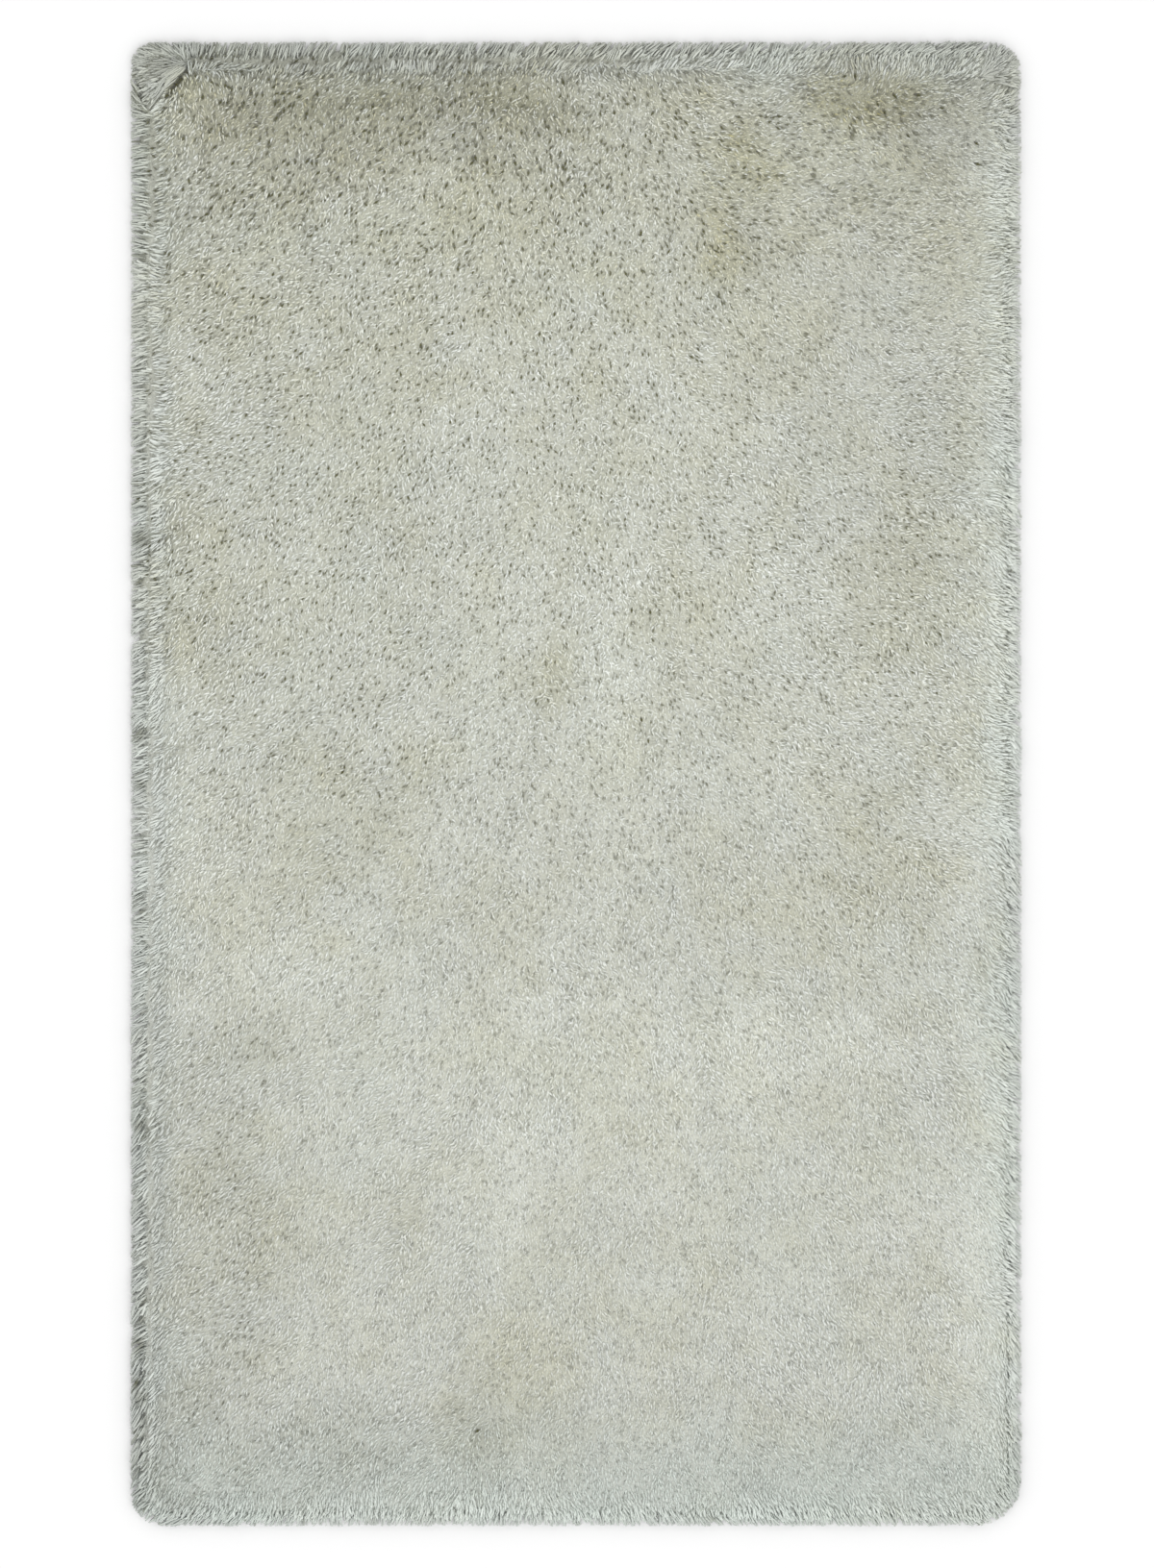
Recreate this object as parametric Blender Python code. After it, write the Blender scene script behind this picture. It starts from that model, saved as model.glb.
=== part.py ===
"""A 3 x 5 ft shag rug lying flat: one slab of long cut pile, lumpy on top, with tapered locks round its rim.

X runs across the rug, Y along it and Z up. The underside is at Z = 0 and the rug's middle is over the origin.
"""

import math
import random

import bmesh
import bpy
from mathutils import Vector, noise
from mathutils.geometry import delaunay_2d_cdt

# Outer size, from tip to tip of the locks.
WIDTH = 0.914
LENGTH = 1.524

# Radius of each rounded corner of the outer outline, and the steps that draw it.
CORNERS = (
    # (side of X, side of Y, radius)
    (1, -1, 0.046),
    (1, 1, 0.030),
    (-1, 1, 0.022),
    (-1, -1, 0.032),
)
ARC_STEPS = 24

# The pile: how high it stands, how low it is where the locks grow from it, and how far in its rounded rim goes.
PILE_HEIGHT = 0.0238
RIM_HEIGHT = 0.0135
RIM_ROUND = 0.048

# Lumps: wide soft swells over the whole top, and small ups and downs from tuft to tuft. The outermost tufts
# stay clear of the slab's edge, where lumps and dips have only the share RIM_CALM of their size.
SWELL_SIZE = 0.110
SWELL_RISE = 0.0044
LUMP_SIZE = 0.040
LUMP_RISE = 0.0078
TUFT_PITCH = 0.0234
TUFT_SHIFT = 0.24
TUFT_RISE = 0.0019
RIM_CLEARANCE = 0.55 * TUFT_PITCH
RIM_CALM = 0.4

# Where the pile parts and the top dips.
PARTINGS = (
    # (name, x, y, heading in degrees, length, width, depth)
    ("top left corner", -0.408, 0.712, 43, 0.060, 0.014, 0.0060),
    ("top right swirl", 0.318, 0.705, 20, 0.060, 0.024, 0.0050),
    ("top edge, left", -0.215, 0.700, 4, 0.140, 0.018, 0.0030),
    ("top edge, middle", -0.060, 0.696, -6, 0.090, 0.018, 0.0035),
    ("left edge, upper", -0.425, 0.253, 30, 0.050, 0.012, 0.0040),
    ("left edge, middle", -0.425, 0.026, 35, 0.060, 0.016, 0.0055),
    ("left edge, lower", -0.425, -0.350, 40, 0.045, 0.012, 0.0040),
    ("left edge, bottom", -0.422, -0.618, 55, 0.050, 0.015, 0.0060),
    ("middle", -0.035, 0.075, 80, 0.160, 0.020, 0.0022),
    ("lower middle", -0.110, -0.520, 84, 0.200, 0.018, 0.0024),
    ("lower left", -0.180, -0.470, 70, 0.120, 0.022, 0.0020),
    ("bottom swirl", -0.095, -0.668, 25, 0.060, 0.026, 0.0032),
    ("right of middle", 0.135, -0.300, 100, 0.150, 0.022, 0.0020),
)

# The locks at the rim: how many, how far they stand out, how their lean varies from lock to lock (spread) and
# from bunch to bunch (sway), and how they taper from root to tip.
LOCK_COUNT = 292
LOCK_REACH = 0.0165
REACH_SHORT = 0.72
REACH_LONG = 1.16
LEAN_SPREAD = 7.0
LEAN_SWAY = 16.0
SWAY_SIZE = 0.070
LOCK_TAPER = (
    # (share of the reach, share of the lean, share of the root's width, share of the root's height)
    (0.55, 0.40, 0.76, 0.70),
    (1.00, 1.00, 0.34, 0.24),
)

# The way the tips of the locks point, in degrees from +X, at places round the rim. Between them it turns
# smoothly: a row's pull falls with the power LAY_FALL of the distance to it, evened out over LAY_BLEND.
RIM_LAY = (
    # (share of half the width, share of half the length, heading)
    (-1.00, 1.00, 128),
    (-0.60, 1.00, 74),
    (0.00, 1.00, 62),
    (0.60, 1.00, 48),
    (1.00, 1.00, 36),
    (1.00, 0.80, 352),
    (1.00, 0.40, 336),
    (1.00, 0.00, 330),
    (1.00, -0.50, 326),
    (1.00, -1.00, 308),
    (0.50, -1.00, 292),
    (0.00, -1.00, 276),
    (-0.50, -1.00, 254),
    (-1.00, -1.00, 232),
    (-1.00, -0.50, 218),
    (-1.00, 0.00, 206),
    (-1.00, 0.50, 200),
    (-1.00, 0.85, 190),
)
MOST_LEAN = 50.0
LAY_BLEND = 0.05
LAY_FALL = 3

YARN_COLOUR = (0.520, 0.530, 0.462, 1.0)
YARN_ROUGHNESS = 0.95
SMOOTH_ANGLE = math.radians(50)
MERGE_DISTANCE = 1e-6
SEED = 35


def corner_bend(radius, inset):
    """Radius of a corner of the outline drawn in by inset, which stays round."""
    return max(radius - inset, radius / 2)


def outline_points(inset, count):
    """Evenly spaced points round the outer outline drawn in by inset, anticlockwise from its first corner."""
    half_x, half_y = WIDTH / 2 - inset, LENGTH / 2 - inset
    path = []
    for i, (side_x, side_y, radius) in enumerate(CORNERS):
        bend = corner_bend(radius, inset)
        centre = Vector((side_x * (half_x - bend), side_y * (half_y - bend)))
        for step in range(ARC_STEPS + 1):
            turn = math.radians(90 * (i - 1 + step / ARC_STEPS))
            path.append(centre + bend * Vector((math.cos(turn), math.sin(turn))))
    path.append(path[0])
    gap = sum((b - a).length for a, b in zip(path, path[1:])) / count
    found = []
    along = 0.0
    for a, b in zip(path, path[1:]):
        length = (b - a).length
        while along < length and len(found) < count:
            found.append(a.lerp(b, along / length))
            along += gap
        along -= length
    return found


def depth_inside(x, y, inset):
    """Distance from a point to the outline drawn in by inset, positive inside it."""
    half_x, half_y = WIDTH / 2 - inset, LENGTH / 2 - inset
    for side_x, side_y, radius in CORNERS:
        bend = corner_bend(radius, inset)
        past_x = side_x * x - (half_x - bend)
        past_y = side_y * y - (half_y - bend)
        if past_x > 0 and past_y > 0:
            return bend - math.hypot(past_x, past_y)
    return min(half_x - abs(x), half_y - abs(y))


def parting_depth(x, y):
    """How far the top dips at a point because the pile parts near it."""
    deepest = 0.0
    for _, at_x, at_y, heading, length, width, depth in PARTINGS:
        turn = math.radians(heading)
        along = (x - at_x) * math.cos(turn) + (y - at_y) * math.sin(turn)
        across = (y - at_y) * math.cos(turn) - (x - at_x) * math.sin(turn)
        reach = (2 * along / length) ** 2 + (2 * across / width) ** 2
        deepest = max(deepest, depth * math.exp(-reach / 2))
    return deepest


def top_height(x, y, inset, rng):
    """Height of the pile's lumpy top over a point of the slab."""
    rise = min(max(depth_inside(x, y, inset) / RIM_ROUND, 0.0), 1.0)
    crown = math.sqrt(1 - (1 - rise) ** 2)
    height = RIM_HEIGHT + (PILE_HEIGHT - RIM_HEIGHT) * crown
    swell = SWELL_RISE * noise.noise(Vector((x / SWELL_SIZE, y / SWELL_SIZE, 0.0)))
    lump = LUMP_RISE * noise.noise(Vector((x / LUMP_SIZE, y / LUMP_SIZE, 5.0)))
    tuft = TUFT_RISE * rng.uniform(-1, 1)
    share = RIM_CALM + (1 - RIM_CALM) * rise
    return height + share * (swell + lump + tuft - parting_depth(x, y))


def tuft_points(inset, rng):
    """Places of the tufts inside the slab: staggered rows, each place moved a little at random."""
    row_gap = TUFT_PITCH * math.sqrt(3) / 2
    rows = int(LENGTH / row_gap)
    columns = int(WIDTH / TUFT_PITCH)
    shift = TUFT_PITCH * TUFT_SHIFT
    found = []
    for row in range(rows + 1):
        for column in range(columns + 1):
            x = (column - columns / 2 + 0.5 * (row % 2)) * TUFT_PITCH + rng.uniform(-shift, shift)
            y = (row - rows / 2) * row_gap + rng.uniform(-shift, shift)
            if depth_inside(x, y, inset) > RIM_CLEARANCE:
                found.append(Vector((x, y)))
    return found


def rim_heading(x, y):
    """The way a lock's tip points at a place on the rim, from the nearest rows of RIM_LAY."""
    total = Vector((0.0, 0.0))
    for share_x, share_y, heading in RIM_LAY:
        gap = math.hypot(x - share_x * WIDTH / 2, y - share_y * LENGTH / 2)
        turn = math.radians(heading)
        total += Vector((math.cos(turn), math.sin(turn))) / (gap + LAY_BLEND) ** LAY_FALL
    return math.atan2(total.y, total.x)


def lock_lean(middle, outward, rng):
    """How far sideways a lock's tip goes for each metre outwards."""
    heading = rim_heading(middle.x, middle.y)
    lean = math.degrees(heading - math.atan2(outward.y, outward.x))
    lean = (lean + 180) % 360 - 180  # to the range from -180 to 180
    lean = min(max(lean, -MOST_LEAN), MOST_LEAN) + rng.uniform(-LEAN_SPREAD, LEAN_SPREAD)
    lean += LEAN_SWAY * noise.noise(Vector((middle.x / SWAY_SIZE, middle.y / SWAY_SIZE, 9.0)))
    return math.tan(math.radians(lean))


def build_slab(bm, inset, rng):
    """The slab: its lumpy top, its low side faces, one for each lock, and its flat underside."""
    rim = outline_points(inset, LOCK_COUNT)
    flat = rim + tuft_points(inset, rng)
    loop = [(i, (i + 1) % LOCK_COUNT) for i in range(LOCK_COUNT)]
    flat, _, triangles, _, _, _ = delaunay_2d_cdt(flat, loop, [], 1, MERGE_DISTANCE)
    top = [bm.verts.new((p.x, p.y, top_height(p.x, p.y, inset, rng))) for p in flat]
    for triangle in triangles:
        bm.faces.new([top[i] for i in triangle])
    foot = [bm.verts.new((p.x, p.y, 0.0)) for p in flat[:LOCK_COUNT]]
    sides = [bm.faces.new((foot[i], foot[j], top[j], top[i])) for i, j in loop]
    middle = bm.verts.new((0.0, 0.0, 0.0))
    for i, j in loop:
        bm.faces.new((foot[j], foot[i], middle))
    return sides


def grow_lock(bm, side, rng):
    """A four-sided lock grown out of a side face: it tapers and leans, and its underside is level at Z = 0."""
    corners = [Vector(v.co) for v in side.verts]
    foot = (corners[0] + corners[1]) / 2
    across = corners[1] - corners[0]
    outward = Vector((across.y, -across.x, 0.0)).normalized()
    tangent = across.normalized()
    height = (corners[2].z + corners[3].z) / 2
    width = across.length
    reach = LOCK_REACH * rng.uniform(REACH_SHORT, REACH_LONG)
    lean = lock_lean(foot, outward, rng)
    face = side
    for share_out, share_lean, share_width, share_height in LOCK_TAPER:
        face = bmesh.ops.extrude_discrete_faces(bm, faces=[face])["faces"][0]
        centre = foot + outward * reach * share_out + tangent * reach * lean * share_lean
        half = tangent * width * share_width / 2
        lift = Vector((0.0, 0.0, height * share_height))
        places = (centre - half, centre + half, centre + half + lift, centre - half + lift)
        for vertex, place in zip(face.verts, places):
            x = min(max(place.x, -WIDTH / 2), WIDTH / 2)
            y = min(max(place.y, -LENGTH / 2), LENGTH / 2)
            vertex.co = (x, y, place.z)


def build_rug():
    rng = random.Random(SEED)
    bm = bmesh.new()
    for side in build_slab(bm, LOCK_REACH, rng):
        grow_lock(bm, side, rng)
    mesh = bpy.data.meshes.new("shag_rug")
    bm.to_mesh(mesh)
    bm.free()
    rug = bpy.data.objects.new("shag_rug", mesh)
    bpy.context.scene.collection.objects.link(rug)
    mesh.shade_smooth()
    mesh.set_sharp_from_angle(angle=SMOOTH_ANGLE)
    return rug


def yarn_material():
    """Off-white wool yarn, matt all over."""
    material = bpy.data.materials.new("wool_yarn")
    material.use_nodes = True
    shader = material.node_tree.nodes["Principled BSDF"]
    shader.inputs["Base Color"].default_value = YARN_COLOUR
    shader.inputs["Roughness"].default_value = YARN_ROUGHNESS
    shader.inputs["Metallic"].default_value = 0.0
    return material


def main():
    for old in list(bpy.data.objects):
        bpy.data.objects.remove(old, do_unlink=True)
    rug = build_rug()
    rug.data.materials.append(yarn_material())


main()
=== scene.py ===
import math
import bpy
import numpy as np
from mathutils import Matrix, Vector, noise
from mathutils.geometry import delaunay_2d_cdt


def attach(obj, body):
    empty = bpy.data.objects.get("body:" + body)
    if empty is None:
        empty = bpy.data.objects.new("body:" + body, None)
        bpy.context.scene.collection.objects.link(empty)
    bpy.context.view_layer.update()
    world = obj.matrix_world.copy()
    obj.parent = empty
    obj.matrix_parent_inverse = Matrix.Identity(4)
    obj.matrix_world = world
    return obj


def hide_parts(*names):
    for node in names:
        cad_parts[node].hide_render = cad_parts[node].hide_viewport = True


# Shag rug, 3 x 5 ft, lying flat. X runs across it, Y along it, Z up, all in metres.
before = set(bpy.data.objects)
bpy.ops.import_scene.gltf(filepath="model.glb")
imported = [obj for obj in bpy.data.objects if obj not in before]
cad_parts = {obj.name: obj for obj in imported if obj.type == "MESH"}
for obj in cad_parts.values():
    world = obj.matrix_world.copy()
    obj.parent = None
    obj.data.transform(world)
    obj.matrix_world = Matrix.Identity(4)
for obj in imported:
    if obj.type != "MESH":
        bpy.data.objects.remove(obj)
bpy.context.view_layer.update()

rug = {
    "width": 0.914,
    "length": 1.524,
    "corners": ((1, -1, 0.046), (1, 1, 0.030), (-1, 1, 0.022), (-1, -1, 0.032)),  # sides of X and Y, radius
    "pileHeight": 0.0238,
    "rimHeight": 0.0135,  # the pile's height where its edge starts to flop over
    "rimInset": 0.0165,  # how far in from the tips that is
    "rimRound": 0.048,  # and how far in from there the pile reaches its full height
    "rimFall": ((0.0, 0.20), (0.45, 0.70), (1.0, 1.0)),  # share of the inset, share of the height
    "softRound": 0.064,  # at the foot and right the pile rounds off evenly over this depth, with no ridge
    "calmTop": (0.02, 0.24, 0.75),  # along the top the ridge fades from this x to that one, by this share
    "swell": (0.110, 0.0030),  # size and rise of the wide soft waves
    "lump": (0.040, 0.0020),  # and of the lumps
    "rimCalm": 0.4,  # share of the waves, lumps and partings that is left at the rim
    "partings": (  # x, y, heading in degrees, length, width, depth
        (-0.409, 0.718, 50, 0.036, 0.009, 0.0070),
        (0.318, 0.705, 20, 0.060, 0.024, 0.0030),
        (-0.215, 0.700, 4, 0.140, 0.018, 0.0030),
        (-0.060, 0.696, -6, 0.090, 0.018, 0.0035),
        (-0.425, 0.253, 30, 0.050, 0.012, 0.0040),
        (-0.425, 0.026, 35, 0.060, 0.016, 0.0055),
        (-0.425, -0.350, 40, 0.045, 0.012, 0.0040),
        (-0.422, -0.618, 55, 0.050, 0.015, 0.0060),
        (-0.035, 0.075, 80, 0.160, 0.020, 0.0012),
        (-0.110, -0.520, 84, 0.200, 0.018, 0.0024),
        (-0.180, -0.470, 70, 0.120, 0.022, 0.0020),
        (-0.095, -0.668, 25, 0.060, 0.026, 0.0032),
        (0.135, -0.300, 100, 0.150, 0.022, 0.0020),
    ),
    "partingPush": 0.55,  # how hard the yarn leans away from a parting
    "partingDark": 0.006,  # a parting this deep gets as much painted shade as the middle of a gap
    "heightCell": 0.006,  # cell of the table of lumps
    "heightHalf": (0.48, 0.78),  # half the table's width and length, which reach past the rug
    "seed": 35,
}

# The way the yarn's tips point. Shares are of half the width and half the length, headings in degrees
# from the X axis.
lay = {
    "rim": (  # share x, share y, heading
        (-1.00, 1.00, 128), (-0.78, 1.00, 68), (-0.40, 1.00, 62), (0.00, 1.00, 54), (0.60, 1.00, 46),
        (1.00, 1.00, 36), (1.00, 0.80, 352), (1.00, 0.40, 336), (1.00, 0.00, 330), (1.00, -0.50, 326),
        (1.00, -1.00, 308), (0.50, -1.00, 292), (0.00, -1.00, 276), (-0.50, -1.00, 254), (-1.00, -1.00, 232),
        (-1.00, -0.50, 218), (-1.00, 0.00, 206), (-1.00, 0.50, 200), (-1.00, 0.85, 190),
    ),
    "field": (  # share x, share y; in degrees: heading, tilt from upright, how freely each end turns
        (-0.90, 0.88, 230, 64, 24), (-0.45, 0.88, 240, 58, 34), (0.00, 0.88, 265, 56, 44),
        (0.45, 0.88, 350, 58, 34), (0.90, 0.88, 358, 64, 24),
        (-0.90, 0.50, 218, 66, 24), (-0.45, 0.50, 242, 57, 40), (0.00, 0.50, 270, 54, 60),
        (0.45, 0.50, 325, 57, 40), (0.90, 0.50, 340, 66, 24),
        (-0.90, 0.00, 220, 67, 22), (-0.45, 0.00, 240, 58, 40), (0.00, 0.00, 273, 54, 64),
        (0.45, 0.00, 314, 58, 40), (0.90, 0.00, 321, 66, 24),
        (-0.90, -0.50, 226, 67, 20), (-0.45, -0.50, 243, 62, 28), (0.00, -0.50, 271, 60, 34),
        (0.45, -0.50, 286, 62, 30), (0.90, -0.50, 312, 66, 22),
        (-0.90, -0.90, 238, 68, 18), (-0.45, -0.90, 249, 66, 24), (0.00, -0.90, 273, 64, 26),
        (0.45, -0.90, 286, 64, 24), (0.90, -0.90, 300, 68, 20),
    ),
    "swirls": (  # x, y, radius, how hard the yarn points away from the middle
        (-0.403, 0.738, 0.060, 1.2),
        (0.395, 0.700, 0.060, 0.8),
        (0.318, 0.705, 0.045, 0.9),
        (-0.095, -0.668, 0.045, 0.7),
        (0.160, 0.560, 0.050, 0.5),
    ),
    "swirlPush": 1.6,  # times that
    "fall": 3,  # a row's pull fades with this power of the distance
    "blend": 0.05,  # to which this is added, so that no row stands out as a point
    "ridge": (0.020, 0.038),  # between these depths the rim's lay turns into the field's
    "ridgeWander": (0.035, 0.006),  # size and reach of the waves in that line
    "edgeTilt": (67, 74),  # tilt near the outline, along the foot and right and along the top and left
    "edgeTiltEnd": 0.068,  # the depth at which the field's tilt has taken over
    "edgeTurn": 12,  # how freely the ends turn near the outline, in degrees
    "swellTurn": (0.090, 16),  # size in metres and degrees of each wave in the heading
    "smallTurn": (0.026, 22),
    "tiltWave": (0.040, 9),  # and of the wave in the tilt
    "tuftTurn": 0.5,  # share of the freedom to turn which the ends of one tuft have in common
    "tuftSpread": 1.7,  # times that share, as a tuft's random value never passes 1
    "tuftTilt": 7,  # degrees by which the tilt differs from tuft to tuft
    "yarnTilt": 9,  # and from end to end
    "calmFoot": (0.55, 1.0),  # times those two, at the foot and from the middle up
    "calmAlong": (-0.6, 0.1),  # between these y the one turns into the other
    "tilts": (3, 84),  # no end stands straighter or lies flatter
    "slopeStep": 0.003,  # the pile's slope is taken over this distance
    "slopes": (-0.8, 0.25),  # and followed between these
}

# Patches of soil and of brightness from ellipses with ragged edges, with painted shade along the edges, over
# the ridge and in the gaps.
tones = {
    "light": (  # x, y, half width, half length, turn in degrees, steps of brightness out of 255
        (-0.270, 0.695, 0.200, 0.070, 0, -40),
        (-0.330, 0.620, 0.110, 0.060, 25, -20),
        (-0.075, 0.700, 0.060, 0.060, 10, -14),
        (0.090, 0.720, 0.110, 0.040, 0, -12),
        (0.300, 0.705, 0.110, 0.045, 0, -14),
        (0.155, 0.590, 0.040, 0.080, 5, -6),
        (-0.060, 0.620, 0.070, 0.040, -30, -9),
        (-0.300, 0.340, 0.170, 0.280, 0, -12),
        (-0.420, 0.450, 0.060, 0.240, 0, -9),
        (-0.395, 0.200, 0.060, 0.110, 0, -7),
        (-0.440, 0.250, 0.016, 0.060, 0, -16),
        (0.380, 0.330, 0.060, 0.080, 0, -7),
        (0.360, 0.160, 0.070, 0.080, 20, -6),
        (0.318, -0.084, 0.070, 0.060, 0, -4),
        (0.430, -0.160, 0.028, 0.065, 0, -8),
        (0.430, -0.520, 0.050, 0.280, 0, 6),
        (-0.240, -0.030, 0.090, 0.080, 20, -4),
        (0.041, 0.075, 0.016, 0.060, 0, 4),
        (0.036, 0.010, 0.024, 0.280, 0, 4),
        (-0.280, 0.170, 0.050, 0.090, -10, 5),
        (-0.290, -0.185, 0.110, 0.050, 8, 7),
        (0.160, -0.280, 0.130, 0.045, 12, 8),
        (0.020, -0.300, 0.200, 0.120, 0, 5),
        (-0.090, -0.430, 0.080, 0.060, 60, 5),
        (-0.395, -0.450, 0.090, 0.240, 0, -15),
        (-0.300, -0.690, 0.180, 0.070, 0, -9),
        (-0.095, -0.660, 0.022, 0.070, 0, -6),
        (-0.060, -0.600, 0.080, 0.080, 0, -3),
    ),
    "grey": (  # the same, where the ends are greyer and the gaps are not: steps of brightness
        (0.340, 0.460, 0.170, 0.280, 0, -9),
        (0.390, 0.690, 0.110, 0.070, 0, -9),
        (-0.100, 0.734, 0.380, 0.012, 0, -9),
        (-0.425, -0.745, 0.055, 0.020, 0, -7),
    ),
    "soil": (  # x, y, half width, half length, turn, share of soiled yarn
        (0.155, 0.545, 0.026, 0.040, 10, 0.48),
        (0.178, 0.635, 0.045, 0.035, 0, 0.34),
        (0.320, 0.705, 0.080, 0.032, 0, 0.40),
        (-0.290, 0.700, 0.170, 0.060, 0, 0.22),
        (-0.070, 0.700, 0.055, 0.045, 0, 0.20),
        (-0.400, 0.710, 0.025, 0.020, 43, 0.45),
        (-0.090, 0.590, 0.080, 0.045, 35, 0.20),
        (0.100, 0.184, 0.060, 0.045, 0, 0.18),
        (0.318, -0.084, 0.070, 0.060, 0, 0.18),
        (0.427, -0.183, 0.024, 0.050, 0, 0.24),
        (-0.237, -0.034, 0.090, 0.075, 15, 0.16),
        (-0.045, -0.610, 0.070, 0.080, 0, 0.14),
        (-0.098, -0.678, 0.055, 0.055, 0, 0.20),
        (-0.365, -0.430, 0.060, 0.075, 0, 0.18),
        (-0.019, 0.095, 0.024, 0.040, 0, 0.26),
        (0.280, -0.160, 0.130, 0.060, 10, 0.14),
        (-0.400, 0.200, 0.055, 0.090, 0, 0.20),
        (0.340, 0.190, 0.080, 0.070, 0, 0.18),
    ),
    "along": (  # the whole width's tone at each y, in steps of brightness: partly wear, partly painted light falling off
        (-0.76, -5), (-0.735, -15), (-0.70, -14), (-0.60, -9), (-0.40, -6), (-0.20, -5),
        (0.00, -2), (0.20, 2), (0.45, 2), (0.60, -1), (0.70, -5), (0.76, -12),
    ),
    "smoothEdge": (0.0, 0.050, -5),  # painted shade near the foot and right, where the pile rounds down: from this depth, gone at that, steps
    "shagEdge": (0.0, 0.060, -6),  # and near the top and left
    "crest": (0.027, 0.009, -10),  # and painted shade over the ridge there: how deep inside, how wide, steps
    "yellowTop": (0.25, 0.70, 0.14),  # the pile yellows from this y to that one, by this share of soiled yarn
    "notches": (  # gaps in the rim with painted shade in them: x, y, half length, how far the yarn draws back, depth of the painted shade
        (-0.448, 0.253, 0.010, 0.0010, 0.60),
        (-0.450, 0.050, 0.007, 0.0014, 0.75),
        (-0.448, 0.000, 0.006, 0.0010, 0.60),
        (-0.448, -0.350, 0.007, 0.0010, 0.60),
        (-0.450, -0.575, 0.007, 0.0012, 0.75),
        (-0.452, -0.616, 0.005, 0.0020, 1.00),
        (-0.446, -0.630, 0.007, 0.0010, 0.70),
        (-0.335, 0.755, 0.006, 0.0014, 0.50),
        (-0.120, 0.755, 0.005, 0.0010, 0.40),
        (0.140, -0.755, 0.005, 0.0010, 0.40),
        (-0.210, -0.755, 0.006, 0.0010, 0.40),
    ),
    "rimShade": (0.0002, 0.0065, -20),  # painted shade on the last ends, where they curl down: to this depth, gone at that, steps
    "tipShare": 0.24,  # share of a dark patch that the ends show; the gaps between them show the rest
    "paleShare": 0.6,  # share of a pale patch that they show
    "gap": (1.0, 0.42, 50),  # depth of painted shade in the gaps at the top, at the foot, and steps that add 1 to it
    "gapAlong": (-0.75, 0.45),  # between these y the foot's turns into the top's
    "gapEdge": (0.020, 0.100, 0.35),  # gaps are fainter near the rim: to this depth, gone at that, share
    "gapRight": (0.10, 0.30, 0.25),  # and in the upper right: from this x, full at that, share
    "gapHigh": (0.15, 0.50),  # from this y, full at that
    "soilShare": 0.5,  # times all the shares of soil above
    "ragged": (0.030, 3.0, 0.6, 0.33),  # size, how many times finer a second one is, its share, reach
    "fade": (0.35, 1.45),  # an ellipse is full within this share of its size, and gone at that
    "cloud": (0.055, 2.4, 0.7, 1.4),  # small clouds all over: the first three as above, and steps
    "soilCloud": (0.038, 2.6, 0.6, 0.09),  # and clouds of soil, with their share
    "soilEven": 0.4,  # how much of that share is there between those clouds
    "coolRim": (0.012, 0.075, 0.34),  # the rim's green-grey: full to this depth, gone at that, share
    "coolFoot": (-0.60, -0.74, 0.65),  # the foot's: from this y, full at that, share
    "coolCloud": (0.060, 0.12),  # and its clouds: size, share
    "usual": 190,  # the pile's usual brightness out of 255, which the steps are added to
    "screen": 2.2,  # the power that turns a screen's brightness into light
    "lights": (0.1, 1.6),  # no yarn gets less or more light than this, where 1 is usual
}

noiseHalf = (0.7, 1.0)  # half the width and length that the noise covers


def tableAt(table, column, row, u, v):
    # the value between four neighbouring cells of a table
    low = table[row, column] * (1 - u) + table[row, column + 1] * u
    high = table[row + 1, column] * (1 - u) + table[row + 1, column + 1] * u
    return low * (1 - v) + high * v


def blockNoise(x, y, size, seed):
    # smooth seeded noise from -1 to 1
    halfX, halfY = noiseHalf
    rng = np.random.default_rng(seed)
    lattice = rng.uniform(-1, 1, (int(2 * halfY / size) + 3, int(2 * halfX / size) + 3))
    u = (x + halfX) / size
    v = (y + halfY) / size
    column = np.floor(u).astype(int)
    row = np.floor(v).astype(int)
    u = u - column
    v = v - row
    u = u * u * (3 - 2 * u)
    v = v * v * (3 - 2 * v)
    return tableAt(lattice, column, row, u, v)


def clouds(x, y, size, finer, share, seed):
    # noise with a second, finer one on it
    return blockNoise(x, y, size, seed) + share * blockNoise(x, y, size / finer, seed + 1)


def smoothStep(value, start, end):
    share = np.clip((value - start) / (end - start), 0, 1)
    return share * share * (3 - 2 * share)


def normalised(vectors):
    return vectors / np.maximum(np.linalg.norm(vectors, axis=1, keepdims=True), 1e-9)


def headingWay(heading):
    turn = np.radians(heading)
    return np.stack([np.cos(turn), np.sin(turn)], axis=-1)


def turnedWay(way, degrees):
    turn = np.radians(degrees)
    x = way[:, 0] * np.cos(turn) - way[:, 1] * np.sin(turn)
    y = way[:, 0] * np.sin(turn) + way[:, 1] * np.cos(turn)
    return np.stack([x, y], axis=1)


def depthInside(x, y):
    # distance in from the outline of the tips
    halfX = rug["width"] / 2
    halfY = rug["length"] / 2
    depth = np.minimum(halfX - np.abs(x), halfY - np.abs(y))
    for sideX, sideY, radius in rug["corners"]:
        pastX = sideX * x - (halfX - radius)
        pastY = sideY * y - (halfY - radius)
        corner = (pastX > 0) & (pastY > 0)
        depth = np.where(corner, radius - np.hypot(pastX, pastY), depth)
    return depth


def shagAt(x, y):
    # 1 along the top and left, where long ends flop over a ridge, less along the top's right half, and 0
    # along the smoother foot and right
    across = 1 / (rug["width"] / 2 - np.abs(x) + 0.02) ** 2
    along = 1 / (rug["length"] / 2 - np.abs(y) + 0.02) ** 2
    start, end, less = rug["calmTop"]
    top = (y > 0) * (1 - less * smoothStep(x, start, end))
    return (across * (x < 0) + along * top) / (across + along)


def between(ends, share):
    return ends[0] + (ends[1] - ends[0]) * share


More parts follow.
